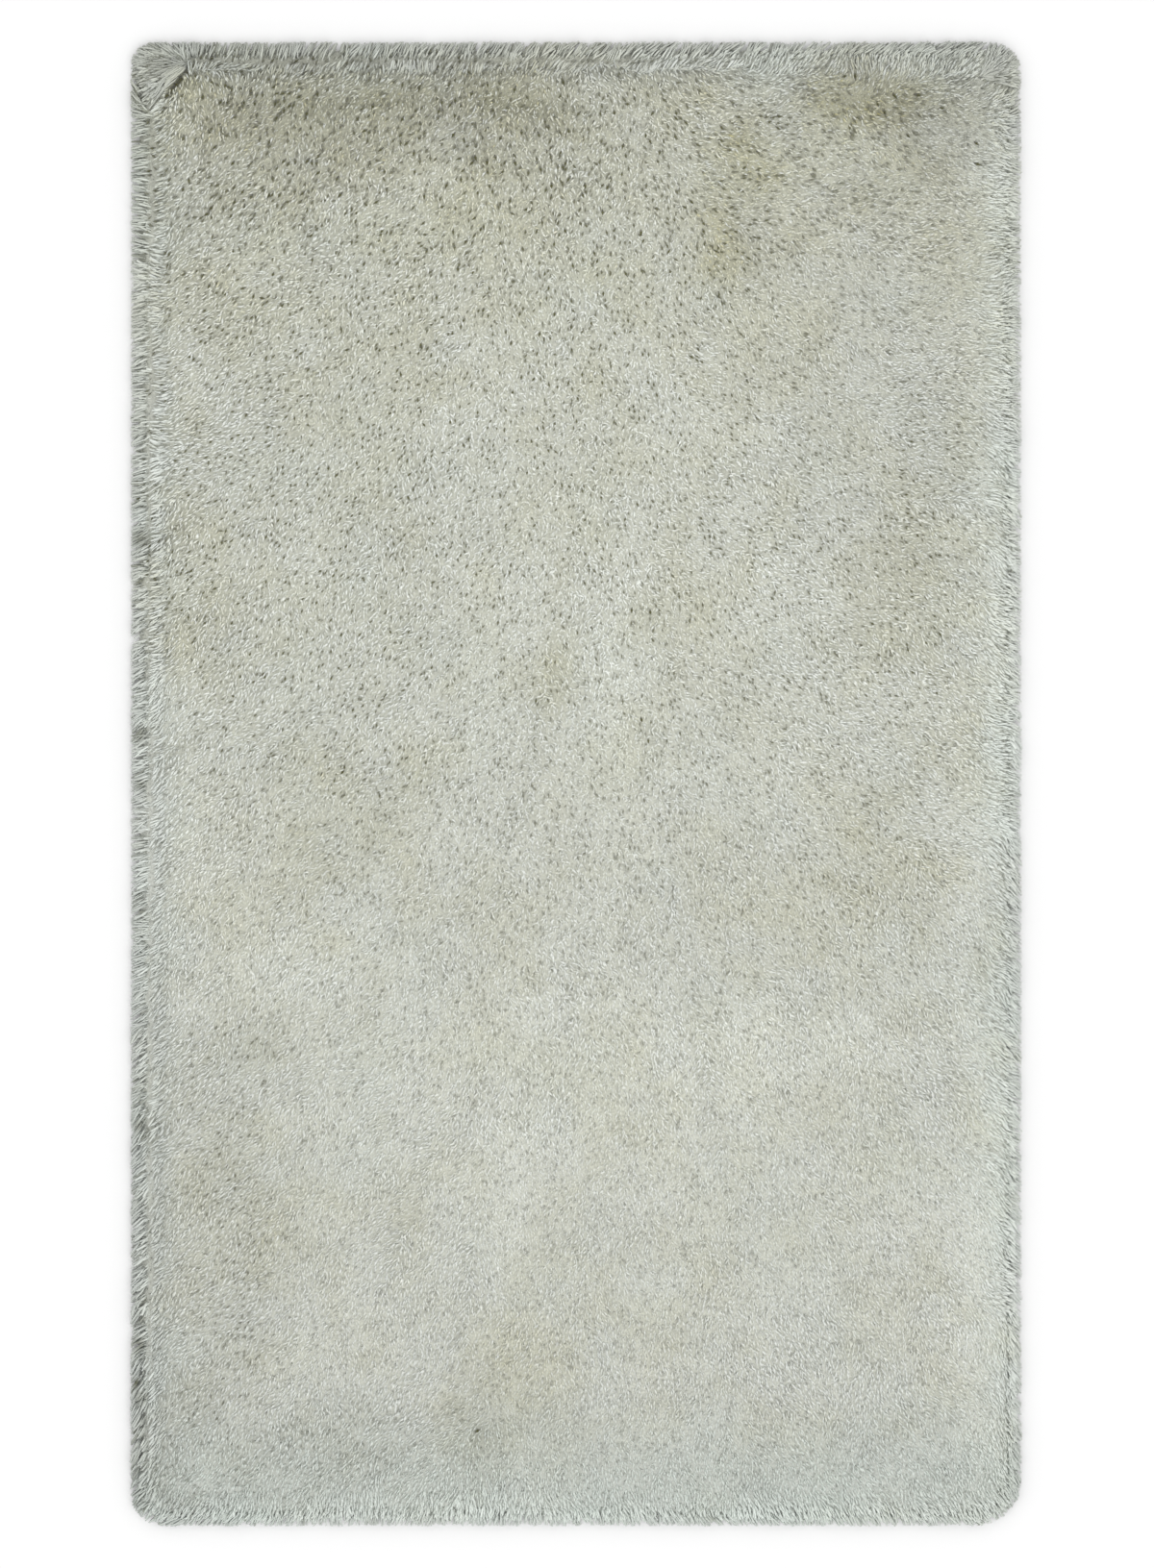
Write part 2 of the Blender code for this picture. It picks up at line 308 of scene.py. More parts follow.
def outline(inset, count):
    # evenly spaced points round the rug and the outward way at each
    halfX = rug["width"] / 2 - inset
    halfY = rug["length"] / 2 - inset
    path = []
    ways = []
    for i, (sideX, sideY, radius) in enumerate(rug["corners"]):
        bend = max(radius - inset, radius / 2)
        for step in range(25):
            turn = math.radians(90 * (i - 1 + step / 24))
            cos = math.cos(turn)
            sin = math.sin(turn)
            ways.append((cos, sin))
            path.append((sideX * (halfX - bend) + bend * cos, sideY * (halfY - bend) + bend * sin))
    path = np.array(path + path[:1])
    ways = np.array(ways + ways[:1])
    along = np.concatenate([[0], np.cumsum(np.linalg.norm(np.diff(path, axis=0), axis=1))])
    at = np.asarray(count) if np.ndim(count) else np.arange(count) / count
    at = at % 1.0 * along[-1]
    points = np.stack([np.interp(at, along, path[:, k]) for k in (0, 1)], axis=1)
    out = np.stack([np.interp(at, along, ways[:, k]) for k in (0, 1)], axis=1)
    return points, normalised(out)


def partingReach(x, y, parting):
    atX, atY, heading, length, width, _ = parting
    turn = math.radians(heading)
    along = (x - atX) * math.cos(turn) + (y - atY) * math.sin(turn)
    across = (y - atY) * math.cos(turn) - (x - atX) * math.sin(turn)
    return np.exp(-((2 * along / length) ** 2 + (2 * across / width) ** 2) / 2), across, turn


def makeHeightTable():
    # the lumps of the pile's top on a coarse table, which the yarn then reads
    cell = rug["heightCell"]
    halfX, halfY = rug["heightHalf"]
    x = np.arange(-halfX, halfX + cell, cell)
    y = np.arange(-halfY, halfY + cell, cell)
    swellSize, swellRise = rug["swell"]
    lumpSize, lumpRise = rug["lump"]
    table = np.zeros((len(y), len(x)))
    for row, b in enumerate(y):
        for column, a in enumerate(x):
            swell = noise.noise(Vector((a / swellSize, b / swellSize, 0.0)))
            lump = noise.noise(Vector((a / lumpSize, b / lumpSize, 5.0)))
            table[row, column] = swellRise * swell + lumpRise * lump
    return table


heightTable = makeHeightTable()


def pileTop(x, y):
    # height of the pile's lumpy top
    halfX, halfY = rug["heightHalf"]
    u = (x + halfX) / rug["heightCell"]
    v = (y + halfY) / rug["heightCell"]
    column = np.clip(np.floor(u).astype(int), 0, heightTable.shape[1] - 2)
    row = np.clip(np.floor(v).astype(int), 0, heightTable.shape[0] - 2)
    lumps = tableAt(heightTable, column, row, u - column, v - row)
    dip = np.zeros_like(x)
    for parting in rug["partings"]:
        reach, _, _ = partingReach(x, y, parting)
        dip = np.maximum(dip, parting[5] * reach)
    depth = depthInside(x, y)
    rise = np.clip((depth - rug["rimInset"]) / rug["rimRound"], 0, 1)
    crown = np.sqrt(1 - (1 - rise) ** 2)
    fall = np.array(rug["rimFall"])
    rim = rug["rimHeight"] * np.interp(depth / rug["rimInset"], fall[:, 0], fall[:, 1])
    ridged = rim + (rug["pileHeight"] - rug["rimHeight"]) * crown
    soft = rug["pileHeight"] * np.sqrt(1 - (1 - np.clip(depth / rug["softRound"], 0.01, 1)) ** 2)
    share = rug["rimCalm"] + (1 - rug["rimCalm"]) * rise
    return between((soft, ridged), shagAt(x, y)) + share * (lumps - dip)


def blendedRows(x, y, rows):
    # each row pulls on a point the more, the nearer it is
    way = np.zeros((len(x), 2))
    tilt = np.zeros(len(x))
    freedom = np.zeros(len(x))
    total = np.zeros(len(x))
    for row in rows:
        gap = np.hypot(x - row[0] * rug["width"] / 2, y - row[1] * rug["length"] / 2)
        pull = 1 / (gap + lay["blend"]) ** lay["fall"]
        way += pull[:, None] * headingWay(row[2])
        total += pull
        if len(row) > 3:
            tilt += pull * row[3]
            freedom += pull * row[4]
    return normalised(way), tilt / total, freedom / total


def layAt(x, y):
    # how far the yarn leans sideways, as a flat vector no longer than 1, and its tilt in degrees
    size, reach = lay["ridgeWander"]
    depth = depthInside(x, y) + reach * blockNoise(x, y, size, 51)
    rimWay, _, _ = blendedRows(x, y, lay["rim"])
    fieldWay, tilt, freedom = blendedRows(x, y, lay["field"])
    share = smoothStep(depth, *lay["ridge"])[:, None]
    way = rimWay * (1 - share) + fieldWay * share
    for atX, atY, radius, push in lay["swirls"]:
        away = np.stack([x - atX, y - atY], axis=1) / radius
        near = np.exp(-np.sum(away ** 2, axis=1))
        way += push * lay["swirlPush"] * away * near[:, None]
    for parting in rug["partings"]:
        reach, across, turn = partingReach(x, y, parting)
        side = np.array([-math.sin(turn), math.cos(turn)])
        push = rug["partingPush"] * reach * np.tanh(across / (parting[4] / 4))
        way += push[:, None] * side
    length = np.linalg.norm(way, axis=1, keepdims=True)
    way = way / np.maximum(length, 1.0)
    covered, away = underFan(x, y)
    way = np.where(covered[:, None], away, way)
    edge = 1 - smoothStep(depth, lay["ridge"][0], lay["edgeTiltEnd"])
    tilt = tilt + (between(lay["edgeTilt"], shagAt(x, y)) - tilt) * edge
    freedom = freedom + (lay["edgeTurn"] - freedom) * edge
    size, degrees = lay["tiltWave"]
    return way, tilt + degrees * blockNoise(x, y, size, 52), freedom


def ellipses(x, y, rows, seed):
    # the sum of patches with ragged edges
    *grain, strength = tones["ragged"]
    ragged = strength * clouds(x, y, *grain, seed)
    total = np.zeros_like(x)
    for atX, atY, halfX, halfY, turn, amount in rows:
        cos = math.cos(math.radians(turn))
        sin = math.sin(math.radians(turn))
        u = ((x - atX) * cos + (y - atY) * sin) / halfX
        v = ((y - atY) * cos - (x - atX) * sin) / halfY
        reach = np.sqrt(u * u + v * v) + ragged
        total += amount * (1 - smoothStep(reach, *tones["fade"]))
    return total


def toneAt(x, y):
    # brightness factor, partly painted light and shade, shares of soiled and of green-grey yarn, and depth of
    # painted shade in the gaps
    depth = depthInside(x, y)
    shag = shagAt(x, y)
    patch = ellipses(x, y, tones["light"], 61)
    at, amount = zip(*tones["along"])
    steps = np.interp(y, at, amount)
    for key, share in (("smoothEdge", 1 - shag), ("shagEdge", shag)):
        start, end, amount = tones[key]
        steps += amount * share * (1 - smoothStep(depth, start, end))
    inside, wide, amount = tones["crest"]
    steps += amount * shag * np.exp(-((depth - inside) / wide) ** 2)
    steps += ellipses(x, y, tones["grey"], 68)
    *grain, amount = tones["cloud"]
    steps += amount * clouds(x, y, *grain, 62)
    soil = tones["soilShare"] * ellipses(x, y, tones["soil"], 64)
    start, end, amount = tones["yellowTop"]
    soil += amount * smoothStep(y, start, end)
    *grain, amount = tones["soilCloud"]
    soil += amount * (tones["soilEven"] + clouds(x, y, *grain, 65))
    full, gone, share = tones["coolRim"]
    cool = share * (1 - smoothStep(depth, full, gone))
    start, end, share = tones["coolFoot"]
    cool = np.maximum(cool, share * smoothStep(y, start, end))
    size, amount = tones["coolCloud"]
    cool += amount * blockNoise(x, y, size, 67)
    high, low, full = tones["gap"]
    gap = between((low, high), smoothStep(y, *tones["gapAlong"])) + np.clip(-patch, 0, None) / full
    start, end, less = tones["gapEdge"]
    gap = gap * (1 - less * (1 - smoothStep(depth, start, end)))
    start, end, less = tones["gapRight"]
    gap = gap * (1 - less * smoothStep(x, start, end) * smoothStep(y, *tones["gapHigh"]))
    steps += patch * np.where(patch < 0, tones["tipShare"], tones["paleShare"])
    full, gone, amount = tones["rimShade"]
    steps += amount * (1 - smoothStep(depth, full, gone))
    values = {"light": np.clip((1 + steps / tones["usual"]) ** tones["screen"], *tones["lights"])}
    for key, share in (("soil", soil), ("cool", cool), ("gap", gap)):
        values[key] = np.clip(share, 0, 1)
    return values


def colour(code):
    # sRGB hex to linear
    parts = [int(code[i:i + 2], 16) / 255 for i in (1, 3, 5)]
    linear = [c / 12.92 if c <= 0.04045 else ((c + 0.055) / 1.055) ** 2.4 for c in parts]
    return (*linear, 1.0)


def addNode(tree, kind, settings=None, inputs=None):
    node = tree.nodes.new(kind)
    for name, value in (settings or {}).items():
        setattr(node, name, value)
    for name, value in (inputs or {}).items():
        if isinstance(value, bpy.types.NodeSocket):
            tree.links.new(value, node.inputs[name])
        else:
            node.inputs[name].default_value = value
    return node


def newMaterial(name):
    material = bpy.data.materials.new(name)
    material.use_nodes = True
    tree = material.node_tree
    tree.nodes.clear()
    shader = addNode(tree, "ShaderNodeBsdfPrincipled")
    addNode(tree, "ShaderNodeOutputMaterial", None, {"Surface": shader.outputs["BSDF"]})
    return material, tree, shader


woolYarn = {
    "clean": "#f4f7f1",
    "soil": "#d6ce90",
    "cool": "#ebf5ed",
    # the colour of the painted shade down in the gaps
    "paintedShade": "#565620",
    "shade": (0.88, 1.0),
    "fibre": 0.0011,  # metres: the twist's spacing, about 1 mm, which shows as soft flecks along each end
    "fleck": (0.95, 1.0),
    "bump": 0.00015,  # metres: how far the plies stand out from the yarn
    "roughness": (0.88, 0.96),  # on the plies, where wear lays the fibres flat, and between them
    "ior": 1.55,
    "sheen": 0.25,
    "sheenRoughness": 0.45,
}

# the same wool lower down, where ends lie matted together: flecked by their shaded sides, and fuzzy
woolDeep = {
    "clean": "#f0f2e8",
    "soil": "#cac388",
    "cool": "#e9efea",
    # the colour of the painted shade in the lower pile
    "paintedShade": "#5c5c30",
    "shade": (0.82, 1.0),
    "fibre": 0.0022,  # metres: the spacing of the flecks, about an end's width
    "fleck": (0.66, 1.02),
    "bump": 0.0012,  # metres: how far the light flecks stand out from the dark ones
    "roughness": (0.92, 0.98),  # on the light flecks, and on the dark ones
    "ior": 1.55,
    "sheen": 0.25,
    "sheenRoughness": 0.45,
}


def makeWool(name, look):
    # Spun wool, tufted and cut: matt off-white ends, with painted shade down in the gaps and a soft sheen.
    material, tree, shader = newMaterial(name)
    read = {key: addNode(tree, "ShaderNodeAttribute", {"attribute_name": key}).outputs["Fac"]
            for key in ("soil", "cool", "shade", "light", "paintedShade")}
    tint = colour(look["clean"])
    for key in ("soil", "cool", "paintedShade"):
        mix = addNode(tree, "ShaderNodeMix", {"data_type": "RGBA"},
                      {0: read[key], 6: tint, 7: colour(look[key])})
        tint = mix.outputs[2]
    place = addNode(tree, "ShaderNodeTexCoord").outputs["Object"]
    twist = addNode(tree, "ShaderNodeTexNoise", None,
                    {"Vector": place, "Scale": 1 / look["fibre"], "Detail": 2.0, "Roughness": 0.6})
    fleck = addNode(tree, "ShaderNodeMapRange", None,
                    {"Value": twist.outputs["Fac"], "From Min": 0.3, "From Max": 0.7,
                     "To Min": look["fleck"][0], "To Max": look["fleck"][1]})
    shade = addNode(tree, "ShaderNodeMapRange", None,
                    {"Value": read["shade"], "To Min": look["shade"][0], "To Max": look["shade"][1]})
    # the light attribute is a brightness factor: partly painted light and shade, partly patches of tone
    lit = addNode(tree, "ShaderNodeMath", {"operation": "MULTIPLY"}, {0: shade.outputs[0], 1: read["light"]})
    level = addNode(tree, "ShaderNodeMath", {"operation": "MULTIPLY"},
                    {0: lit.outputs[0], 1: fleck.outputs[0]})
    final = addNode(tree, "ShaderNodeVectorMath", {"operation": "SCALE"},
                    {"Vector": tint, "Scale": level.outputs[0]})
    tree.links.new(final.outputs["Vector"], shader.inputs["Base Color"])
    fuzz = addNode(tree, "ShaderNodeBump", None,
                   {"Strength": 0.6, "Distance": look["bump"], "Height": twist.outputs["Fac"]})
    tree.links.new(fuzz.outputs["Normal"], shader.inputs["Normal"])
    worn = addNode(tree, "ShaderNodeMapRange", None,
                   {"Value": twist.outputs["Fac"], "From Min": 0.7, "From Max": 0.3,
                    "To Min": look["roughness"][0], "To Max": look["roughness"][1]})
    tree.links.new(worn.outputs[0], shader.inputs["Roughness"])
    shader.inputs["IOR"].default_value = look["ior"]
    shader.inputs["Sheen Weight"].default_value = look["sheen"]
    shader.inputs["Sheen Roughness"].default_value = look["sheenRoughness"]
    return material


def makeMesh(name, vertices, faces, material, attributes):
    # faces is a list of index arrays, each with its own number of corners a face
    mesh = bpy.data.meshes.new(name)
    corners = np.concatenate([f.reshape(-1) for f in faces]).astype(np.int32)
    sizes = np.concatenate([np.full(len(f), f.shape[1]) for f in faces]).astype(np.int32)
    starts = np.concatenate([[0], np.cumsum(sizes)[:-1]]).astype(np.int32)
    mesh.vertices.add(len(vertices))
    mesh.vertices.foreach_set("co", vertices.astype(np.float32).reshape(-1))
    mesh.loops.add(len(corners))
    mesh.loops.foreach_set("vertex_index", corners)
    mesh.polygons.add(len(sizes))
    mesh.polygons.foreach_set("loop_start", starts)
    mesh.polygons.foreach_set("loop_total", sizes)
    mesh.update(calc_edges=True)
    mesh.shade_smooth()
    for key, values in attributes.items():
        layer = mesh.attributes.new(key, "FLOAT", "POINT")
        layer.data.foreach_set("value", values.astype(np.float32).reshape(-1))
    mesh.materials.append(material)
    piece = bpy.data.objects.new(name, mesh)
    bpy.context.scene.collection.objects.link(piece)
    return piece


cellMargin = 0.04  # share of a cell of the colour map that is left free on each side
floorGap = 0.0004  # no yarn comes closer to the floor
growLimits = (0.6, 1.5)  # no end of the rim or a fan is thinner or thicker, times its usual radius


def tiles(count, order):
    # each yarn gets its own cell of the colour map, three sides across and root to tip upwards
    columns = max(1, round(math.sqrt(count)))
    rows = -(-count // columns)
    rank = np.empty(count, int)
    rank[order] = np.arange(count)
    row = rank // columns
    column = rank % columns
    column = np.where(row % 2 == 1, columns - 1 - column, column)
    return column, row, columns, rows


def mapCells(piece, count, values, maps):
    # lays each yarn's own map, given corner by corner from 0 to 1, into its cell, the cells sorted by tone
    order = np.argsort(values["light"] * (0.5 + values["shade"]) - 0.3 * values["soil"], kind="stable")
    column, row, columns, rows = tiles(count, order)
    layer = piece.data.uv_layers.new(name="OFBake")
    both = []
    used = 1 - 2 * cellMargin
    for one in maps:
        u = (column[:, None] + cellMargin + used * one[..., 0]) / columns
        v = cellMargin + used * one[..., 1]
        v = np.where((row % 2 == 1)[:, None], 1 - v, v)
        v = (row[:, None] + v) / rows
        both.append(np.stack([u, v], axis=-1).reshape(-1, 2))
    layer.data.foreach_set("uv", np.concatenate(both).astype(np.float32).reshape(-1))


def makeYarn(name, points, shares, radii, rng, values, material):
    # One closed three-sided yarn for each row of points: its root, the rings between, and its tip.
    count = len(points[0])
    rings = len(points) - 2
    vertices = np.empty((count, 3 * rings + 2, 3))
    vertices[:, 0] = points[0]
    vertices[:, -1] = points[-1]
    roll = rng.uniform(0, 2 * math.pi, count)
    for k in range(rings):
        way = normalised(points[k + 2] - points[k])
        side = normalised(np.cross(way, np.array([0.31, 0.17, 0.93])))
        other = np.cross(way, side)
        for j in range(3):
            turn = (roll + j * 2 * math.pi / 3)[:, None]
            ring = np.cos(turn) * side + np.sin(turn) * other
            vertices[:, 1 + 3 * k + j] = points[k + 1] + radii[k][:, None] * ring
    vertices[:, :, 2] = np.maximum(vertices[:, :, 2], floorGap)
    triangles = []
    quads = []
    triangleUv = []
    quadUv = []
    tip = 3 * rings + 1
    top = 3 * rings - 2
    for j in range(3):
        n = (j + 1) % 3
        triangles.append((0, 1 + n, 1 + j))
        triangleUv.append(((j + 0.5) / 3, shares[0], (j + 1) / 3, shares[1], j / 3, shares[1]))
        triangles.append((top + j, top + n, tip))
        triangleUv.append((j / 3, shares[-2], (j + 1) / 3, shares[-2], (j + 0.5) / 3, shares[-1]))
        for k in range(rings - 1):
            low = 1 + 3 * k
            quads.append((low + j, low + n, low + 3 + n, low + 3 + j))
            quadUv.append((j / 3, shares[k + 1], (j + 1) / 3, shares[k + 1],
                           (j + 1) / 3, shares[k + 2], j / 3, shares[k + 2]))
    first = (np.arange(count) * (3 * rings + 2))[:, None, None]
    faces = [(first + np.array(triangles)[None]).reshape(-1, 3)]
    maps = [np.array(triangleUv).reshape(1, len(triangles) * 3, 2)]
    if quads:
        faces.append((first + np.array(quads)[None]).reshape(-1, 4))
        maps.append(np.array(quadUv).reshape(1, len(quads) * 4, 2))
    # a value is either one for the whole yarn or one for each of its points
    ofVertex = np.concatenate([[0], np.repeat(np.arange(1, rings + 1), 3), [rings + 1]])
    attributes = {}
    for key, one in values.items():
        whole = one.ndim == 1
        attributes[key] = np.repeat(one[:, None], 3 * rings + 2, axis=1) if whole else one[:, ofVertex]
    piece = makeMesh(name, vertices.reshape(-1, 3), faces, material, attributes)
    mapCells(piece, count, values, maps)
    return piece


def walkBack(tip, tipWay, rootWay, length, shares):
    # centre points of each yarn, found from its tip back to its root
    points = [tip]
    for high, low in zip(shares[:0:-1], shares[-2::-1]):
        middle = (high + low) / 2
        way = normalised(rootWay * (1 - middle) + tipWay * middle)
        points.append(points[-1] - way * (length * (high - low))[:, None])
    return points[::-1]


def scatter(pitch, shift, rng):
    # staggered rows of points, each moved a little
    rowGap = pitch * math.sqrt(3) / 2
    rows = int(rug["length"] / rowGap) + 2
    columns = int(rug["width"] / pitch) + 2
    row, column = np.mgrid[0:rows, 0:columns]
    x = (column - (columns - 1) / 2 + 0.5 * (row % 2)) * pitch
    y = (row - (rows - 1) / 2) * rowGap
    x = x + rng.uniform(-shift, shift, x.shape) * pitch
    y = y + rng.uniform(-shift, shift, y.shape) * pitch
    return x.reshape(-1), y.reshape(-1)


tufts = {
    "pitch": 0.0056,
    "half": (0.6, 0.9),  # half the width and length that squares of that size cover, one for each tuft
    "wander": (0.021, 0.006),  # size and reach of the waves in their rows
    "offCentre": 0.3,  # how far a tuft's middle lies from its square's, in squares
    "gather": (-0.05, 0.14),  # how far the ends of one tuft lean together
    "lengths": (0.85, 1.15),  # times the usual length of the yarn
    "rise": 0.0002,  # how much the tufts differ in height
    "uneven": 0.0003,  # and the ends
    "lowest": 0.002,  # no tip is lower
    "shade": 0.10,  # how much the tufts differ in shade
    "endShade": 0.24,  # and the ends
    "endSoil": 0.5,  # how much the ends differ in soil, as a share of it
}


def tuftOf(x, y):
    # where the middle of each yarn's tuft is, and four random values of that tuft's own
    pitch = tufts["pitch"]
    halfX, halfY = tufts["half"]
    size, reach = tufts["wander"]
    warpedX = x + reach * blockNoise(x, y, size, 71)
    warpedY = y + reach * blockNoise(x, y, size, 72)
    column = np.floor((warpedX + halfX) / pitch).astype(int)
    row = np.floor((warpedY + halfY) / pitch).astype(int)
    rng = np.random.default_rng(73)
    own = rng.uniform(-1, 1, (int(2 * halfY / pitch) + 2, int(2 * halfX / pitch) + 2, 6))[row, column]
    middleX = (column + 0.5 + tufts["offCentre"] * own[:, 0]) * pitch - halfX + (x - warpedX)
    middleY = (row + 0.5 + tufts["offCentre"] * own[:, 1]) * pitch - halfY + (y - warpedY)
    return middleX, middleY, own[:, 2:]


pits = {
    "pitch": 0.0058,
    "half": (0.65, 0.95),  # half the width and length that squares of that size cover
    "share": 0.92,  # so many of the squares have a gap in them
    "shift": 0.40,  # how far a gap lies from its square's middle, in squares
    "weak": 0.40,  # shade of the smallest gaps, where that of the largest is 1
    "radius": (0.0008, 0.0018),
    "crowd": 1.4,  # their sizes crowd to the small end by this power
    "grow": (0.95, 1.25),  # times that radius, from the foot to the upper part, and at the top
    "growAlong": (0.35, 0.68),  # between these y the one turns into the other
    "patchGrow": 0.12,  # and they are up to this much larger in the dark patches
    "patchFull": 40,  # a patch this many steps dark counts in full
    "stretch": 1.8,  # the gaps are longer along the lay than across it
    "push": 1.8,  # a gap pushes the ends aside over this many times its radius
    "fade": 1.25,  # and dims them over this many
    "depths": (0.0008, 0.0060),  # below the pile's top the gap's shade starts, and is full
    "base": 0.03,  # share of the shade that is there away from the gaps too
    "markShade": 2.0,  # shade of the gaps below
    "marks": (  # the few gaps that stand out one by one: x, y, radius
        (-0.309, 0.714, 0.0026), (-0.341, 0.726, 0.0022), (-0.340, 0.698, 0.0022), (-0.329, 0.697, 0.0022),
        (-0.308, 0.697, 0.0026), (-0.299, 0.690, 0.0024), (-0.364, 0.698, 0.0024), (-0.382, 0.703, 0.0026),
        (-0.265, 0.707, 0.0028), (-0.424, 0.689, 0.0022), (0.326, 0.706, 0.0032), (0.350, 0.706, 0.0032),
        (0.374, 0.692, 0.0026), (0.286, 0.725, 0.0026), (0.275, 0.725, 0.0022), (0.309, 0.697, 0.0022),
        (0.316, 0.688, 0.0026), (0.340, 0.664, 0.0022), (0.410, 0.656, 0.0024), (0.411, 0.635, 0.0026),
        (-0.101, -0.663, 0.0024), (0.057, 0.178, 0.0022), (0.076, 0.176, 0.0020), (0.067, 0.066, 0.0022),
        (0.074, 0.044, 0.0020), (0.106, 0.051, 0.0022), (-0.041, 0.085, 0.0020), (-0.400, 0.729, 0.0028),
        (-0.405, 0.723, 0.0034), (-0.410, 0.717, 0.0036), (-0.414, 0.712, 0.0034), (-0.419, 0.706, 0.0028),
    ),
}


def makePitTable():
    # x, y, radius and strength of the gap in each square, radius 0 where there is none
    pitch = pits["pitch"]
    halfX, halfY = pits["half"]
    rng = np.random.default_rng(74)
    own = rng.uniform(0, 1, (int(2 * halfY / pitch) + 4, int(2 * halfX / pitch) + 4, 4))
    row, column = np.mgrid[0:own.shape[0], 0:own.shape[1]]
    x = (column + 0.5 + pits["shift"] * (2 * own[:, :, 0] - 1)) * pitch - halfX
    y = (row + 0.5 + pits["shift"] * (2 * own[:, :, 1] - 1)) * pitch - halfY
    size = own[:, :, 2] ** pits["crowd"]
    radius = between(pits["radius"], size) * between(pits["grow"], smoothStep(y, *pits["growAlong"]))
    dark = np.clip(-ellipses(x, y, tones["light"], 61) / pits["patchFull"], 0, 1)
    radius = radius * (1 + pits["patchGrow"] * dark) * (own[:, :, 3] < pits["share"])
    table = np.stack([x, y, radius, between((pits["weak"], 1), size)], axis=2)
    for atX, atY, wide in pits["marks"]:
        mark = (atX, atY, wide, pits["markShade"])
        table[int((atY + halfY) / pitch), int((atX + halfX) / pitch)] = mark
    return table


pitTable = makePitTable()


def pitAt(x, y, way):
    # small gaps that open between tufts: how far each end is pushed aside, and how near it is to one
    halfX, halfY = pits["half"]
    column = np.floor((x + halfX) / pits["pitch"]).astype(int)
    row = np.floor((y + halfY) / pits["pitch"]).astype(int)
    shift = np.zeros((len(x), 2))
    near = np.zeros(len(x))
    for stepX in (-1, 0, 1):
        for stepY in (-1, 0, 1):
            one = pitTable[row + stepY, column + stepX]
            awayX = x - one[:, 0]
            awayY = y - one[:, 1]
            along = (awayX * way[:, 0] + awayY * way[:, 1]) / pits["stretch"]
            across = awayY * way[:, 0] - awayX * way[:, 1]
            radius = one[:, 2] + 1e-6
            gap = np.hypot(along, across) + 1e-6
            wide = radius ** 2 * np.exp(-(gap / radius / pits["push"]) ** 2)
            push = (np.sqrt(gap ** 2 + wide) - gap) / gap
            along = along * push * pits["stretch"]
            across = across * push
            shift[:, 0] += along * way[:, 0] - across * way[:, 1]
            shift[:, 1] += along * way[:, 1] + across * way[:, 0]
            near = np.maximum(near, one[:, 3] * np.exp(-(gap / radius / pits["fade"]) ** 2))
    return shift, np.minimum(near, 1)


def partingShade(x, y):
    # how much painted shade the partings put on each place
    near = np.zeros(len(x))
    for parting in rug["partings"]:
        reach, _, _ = partingReach(x, y, parting)
        near = np.maximum(near, reach * parting[5] / rug["partingDark"])
    return near


def paintedShadeAt(points, way):
    # painted shade on the yarn at each of its points: deep down and near a gap it is darkest
    shares = []
    for point in points:
        x = point[:, 0]
        y = point[:, 1]
        _, near = pitAt(x, y, way)
        near = np.maximum(near, partingShade(x, y))
        down = smoothStep(pileTop(x, y) - point[:, 2], *pits["depths"])
        shares.append(down * (pits["base"] + (1 - pits["base"]) * near))
    return np.stack(shares, axis=1)


def bentYarn(x, y, length, shares, rootTilt, rng):
    # centre points and tones of yarn whose tips stand on the pile's top at these places
    middleX, middleY, own = tuftOf(x, y)
    gather = between(tufts["gather"], (own[:, 0] + 1) / 2)
    way, tilt, freedom = layAt(x, y)
    lie = normalised(way)
    shift, _ = pitAt(x, y, lie)
    tipX = x + gather * (middleX - x) + shift[:, 0]
    tipY = y + gather * (middleY - y) + shift[:, 1]
    turn = np.zeros_like(x)
    for key, seed in (("swellTurn", 81), ("smallTurn", 82)):
        size, degrees = lay[key]
        turn += degrees * blockNoise(x, y, size, seed)
    common = lay["tuftTurn"]
    turn += freedom * (common * lay["tuftSpread"] * own[:, 1] + (1 - common) * rng.normal(0, 1, len(x)))
    calm = between(lay["calmFoot"], smoothStep(y, *lay["calmAlong"]))
    tilt = tilt + calm * (lay["tuftTilt"] * own[:, 2] + lay["yarnTilt"] * rng.normal(0, 1, len(x)))
    tilt = np.clip(tilt, *lay["tilts"])
    way = turnedWay(way, turn)
    # the lean follows the slope of the pile's top, so that ends lie down over the rounded edge
    top = pileTop(tipX, tipY)
    ahead = lay["slopeStep"] * normalised(way)
    slope = (pileTop(tipX + ahead[:, 0], tipY + ahead[:, 1]) - top) / lay["slopeStep"]
    slope = np.clip(slope, *lay["slopes"]) * np.linalg.norm(way, axis=1)
    both = []
    for share in (1.0, rootTilt):
        turned = np.radians(tilt * share)
        rise = np.cos(turned) + slope * np.sin(turned)
        both.append(normalised(np.concatenate([np.sin(turned)[:, None] * way, rise[:, None]], axis=1)))
    tipWay, rootWay = both
    height = top + tufts["rise"] * own[:, 3] + tufts["uneven"] * rng.normal(0, 1, len(x))
    tip = np.stack([tipX, tipY, np.maximum(height, tufts["lowest"])], axis=1)
    points = walkBack(tip, tipWay, rootWay, length, shares)
    values = toneAt(tipX, tipY)
    shade = 0.5 + tufts["shade"] * own[:, 1] + tufts["endShade"] * rng.normal(0, 1, len(x))
    values["shade"] = np.clip(shade, 0, 1)
    values["soil"] = np.clip(values["soil"] * (1 + tufts["endSoil"] * rng.normal(0, 1, len(x))), 0, 1)
    values["paintedShade"] = paintedShadeAt(points, lie) * values.pop("gap")[:, None]
    return points, values


middlePile = {
    "pitch": 0.00388,
    "shift": 0.45,
    "from": 0.031,  # how deep inside the rug it starts
    "length": 0.0140,
    "shares": (0.0, 0.70, 1.0),
    "rootTilt": 0.55,  # the tilt at the root, as a share of the tip's
    "radii": (0.00100,),
    "spread": 0.18,  # how much the ends differ in radius
    "limits": (0.0006, 0.0018),  # and no radius passes these
    "bands": 4,
}

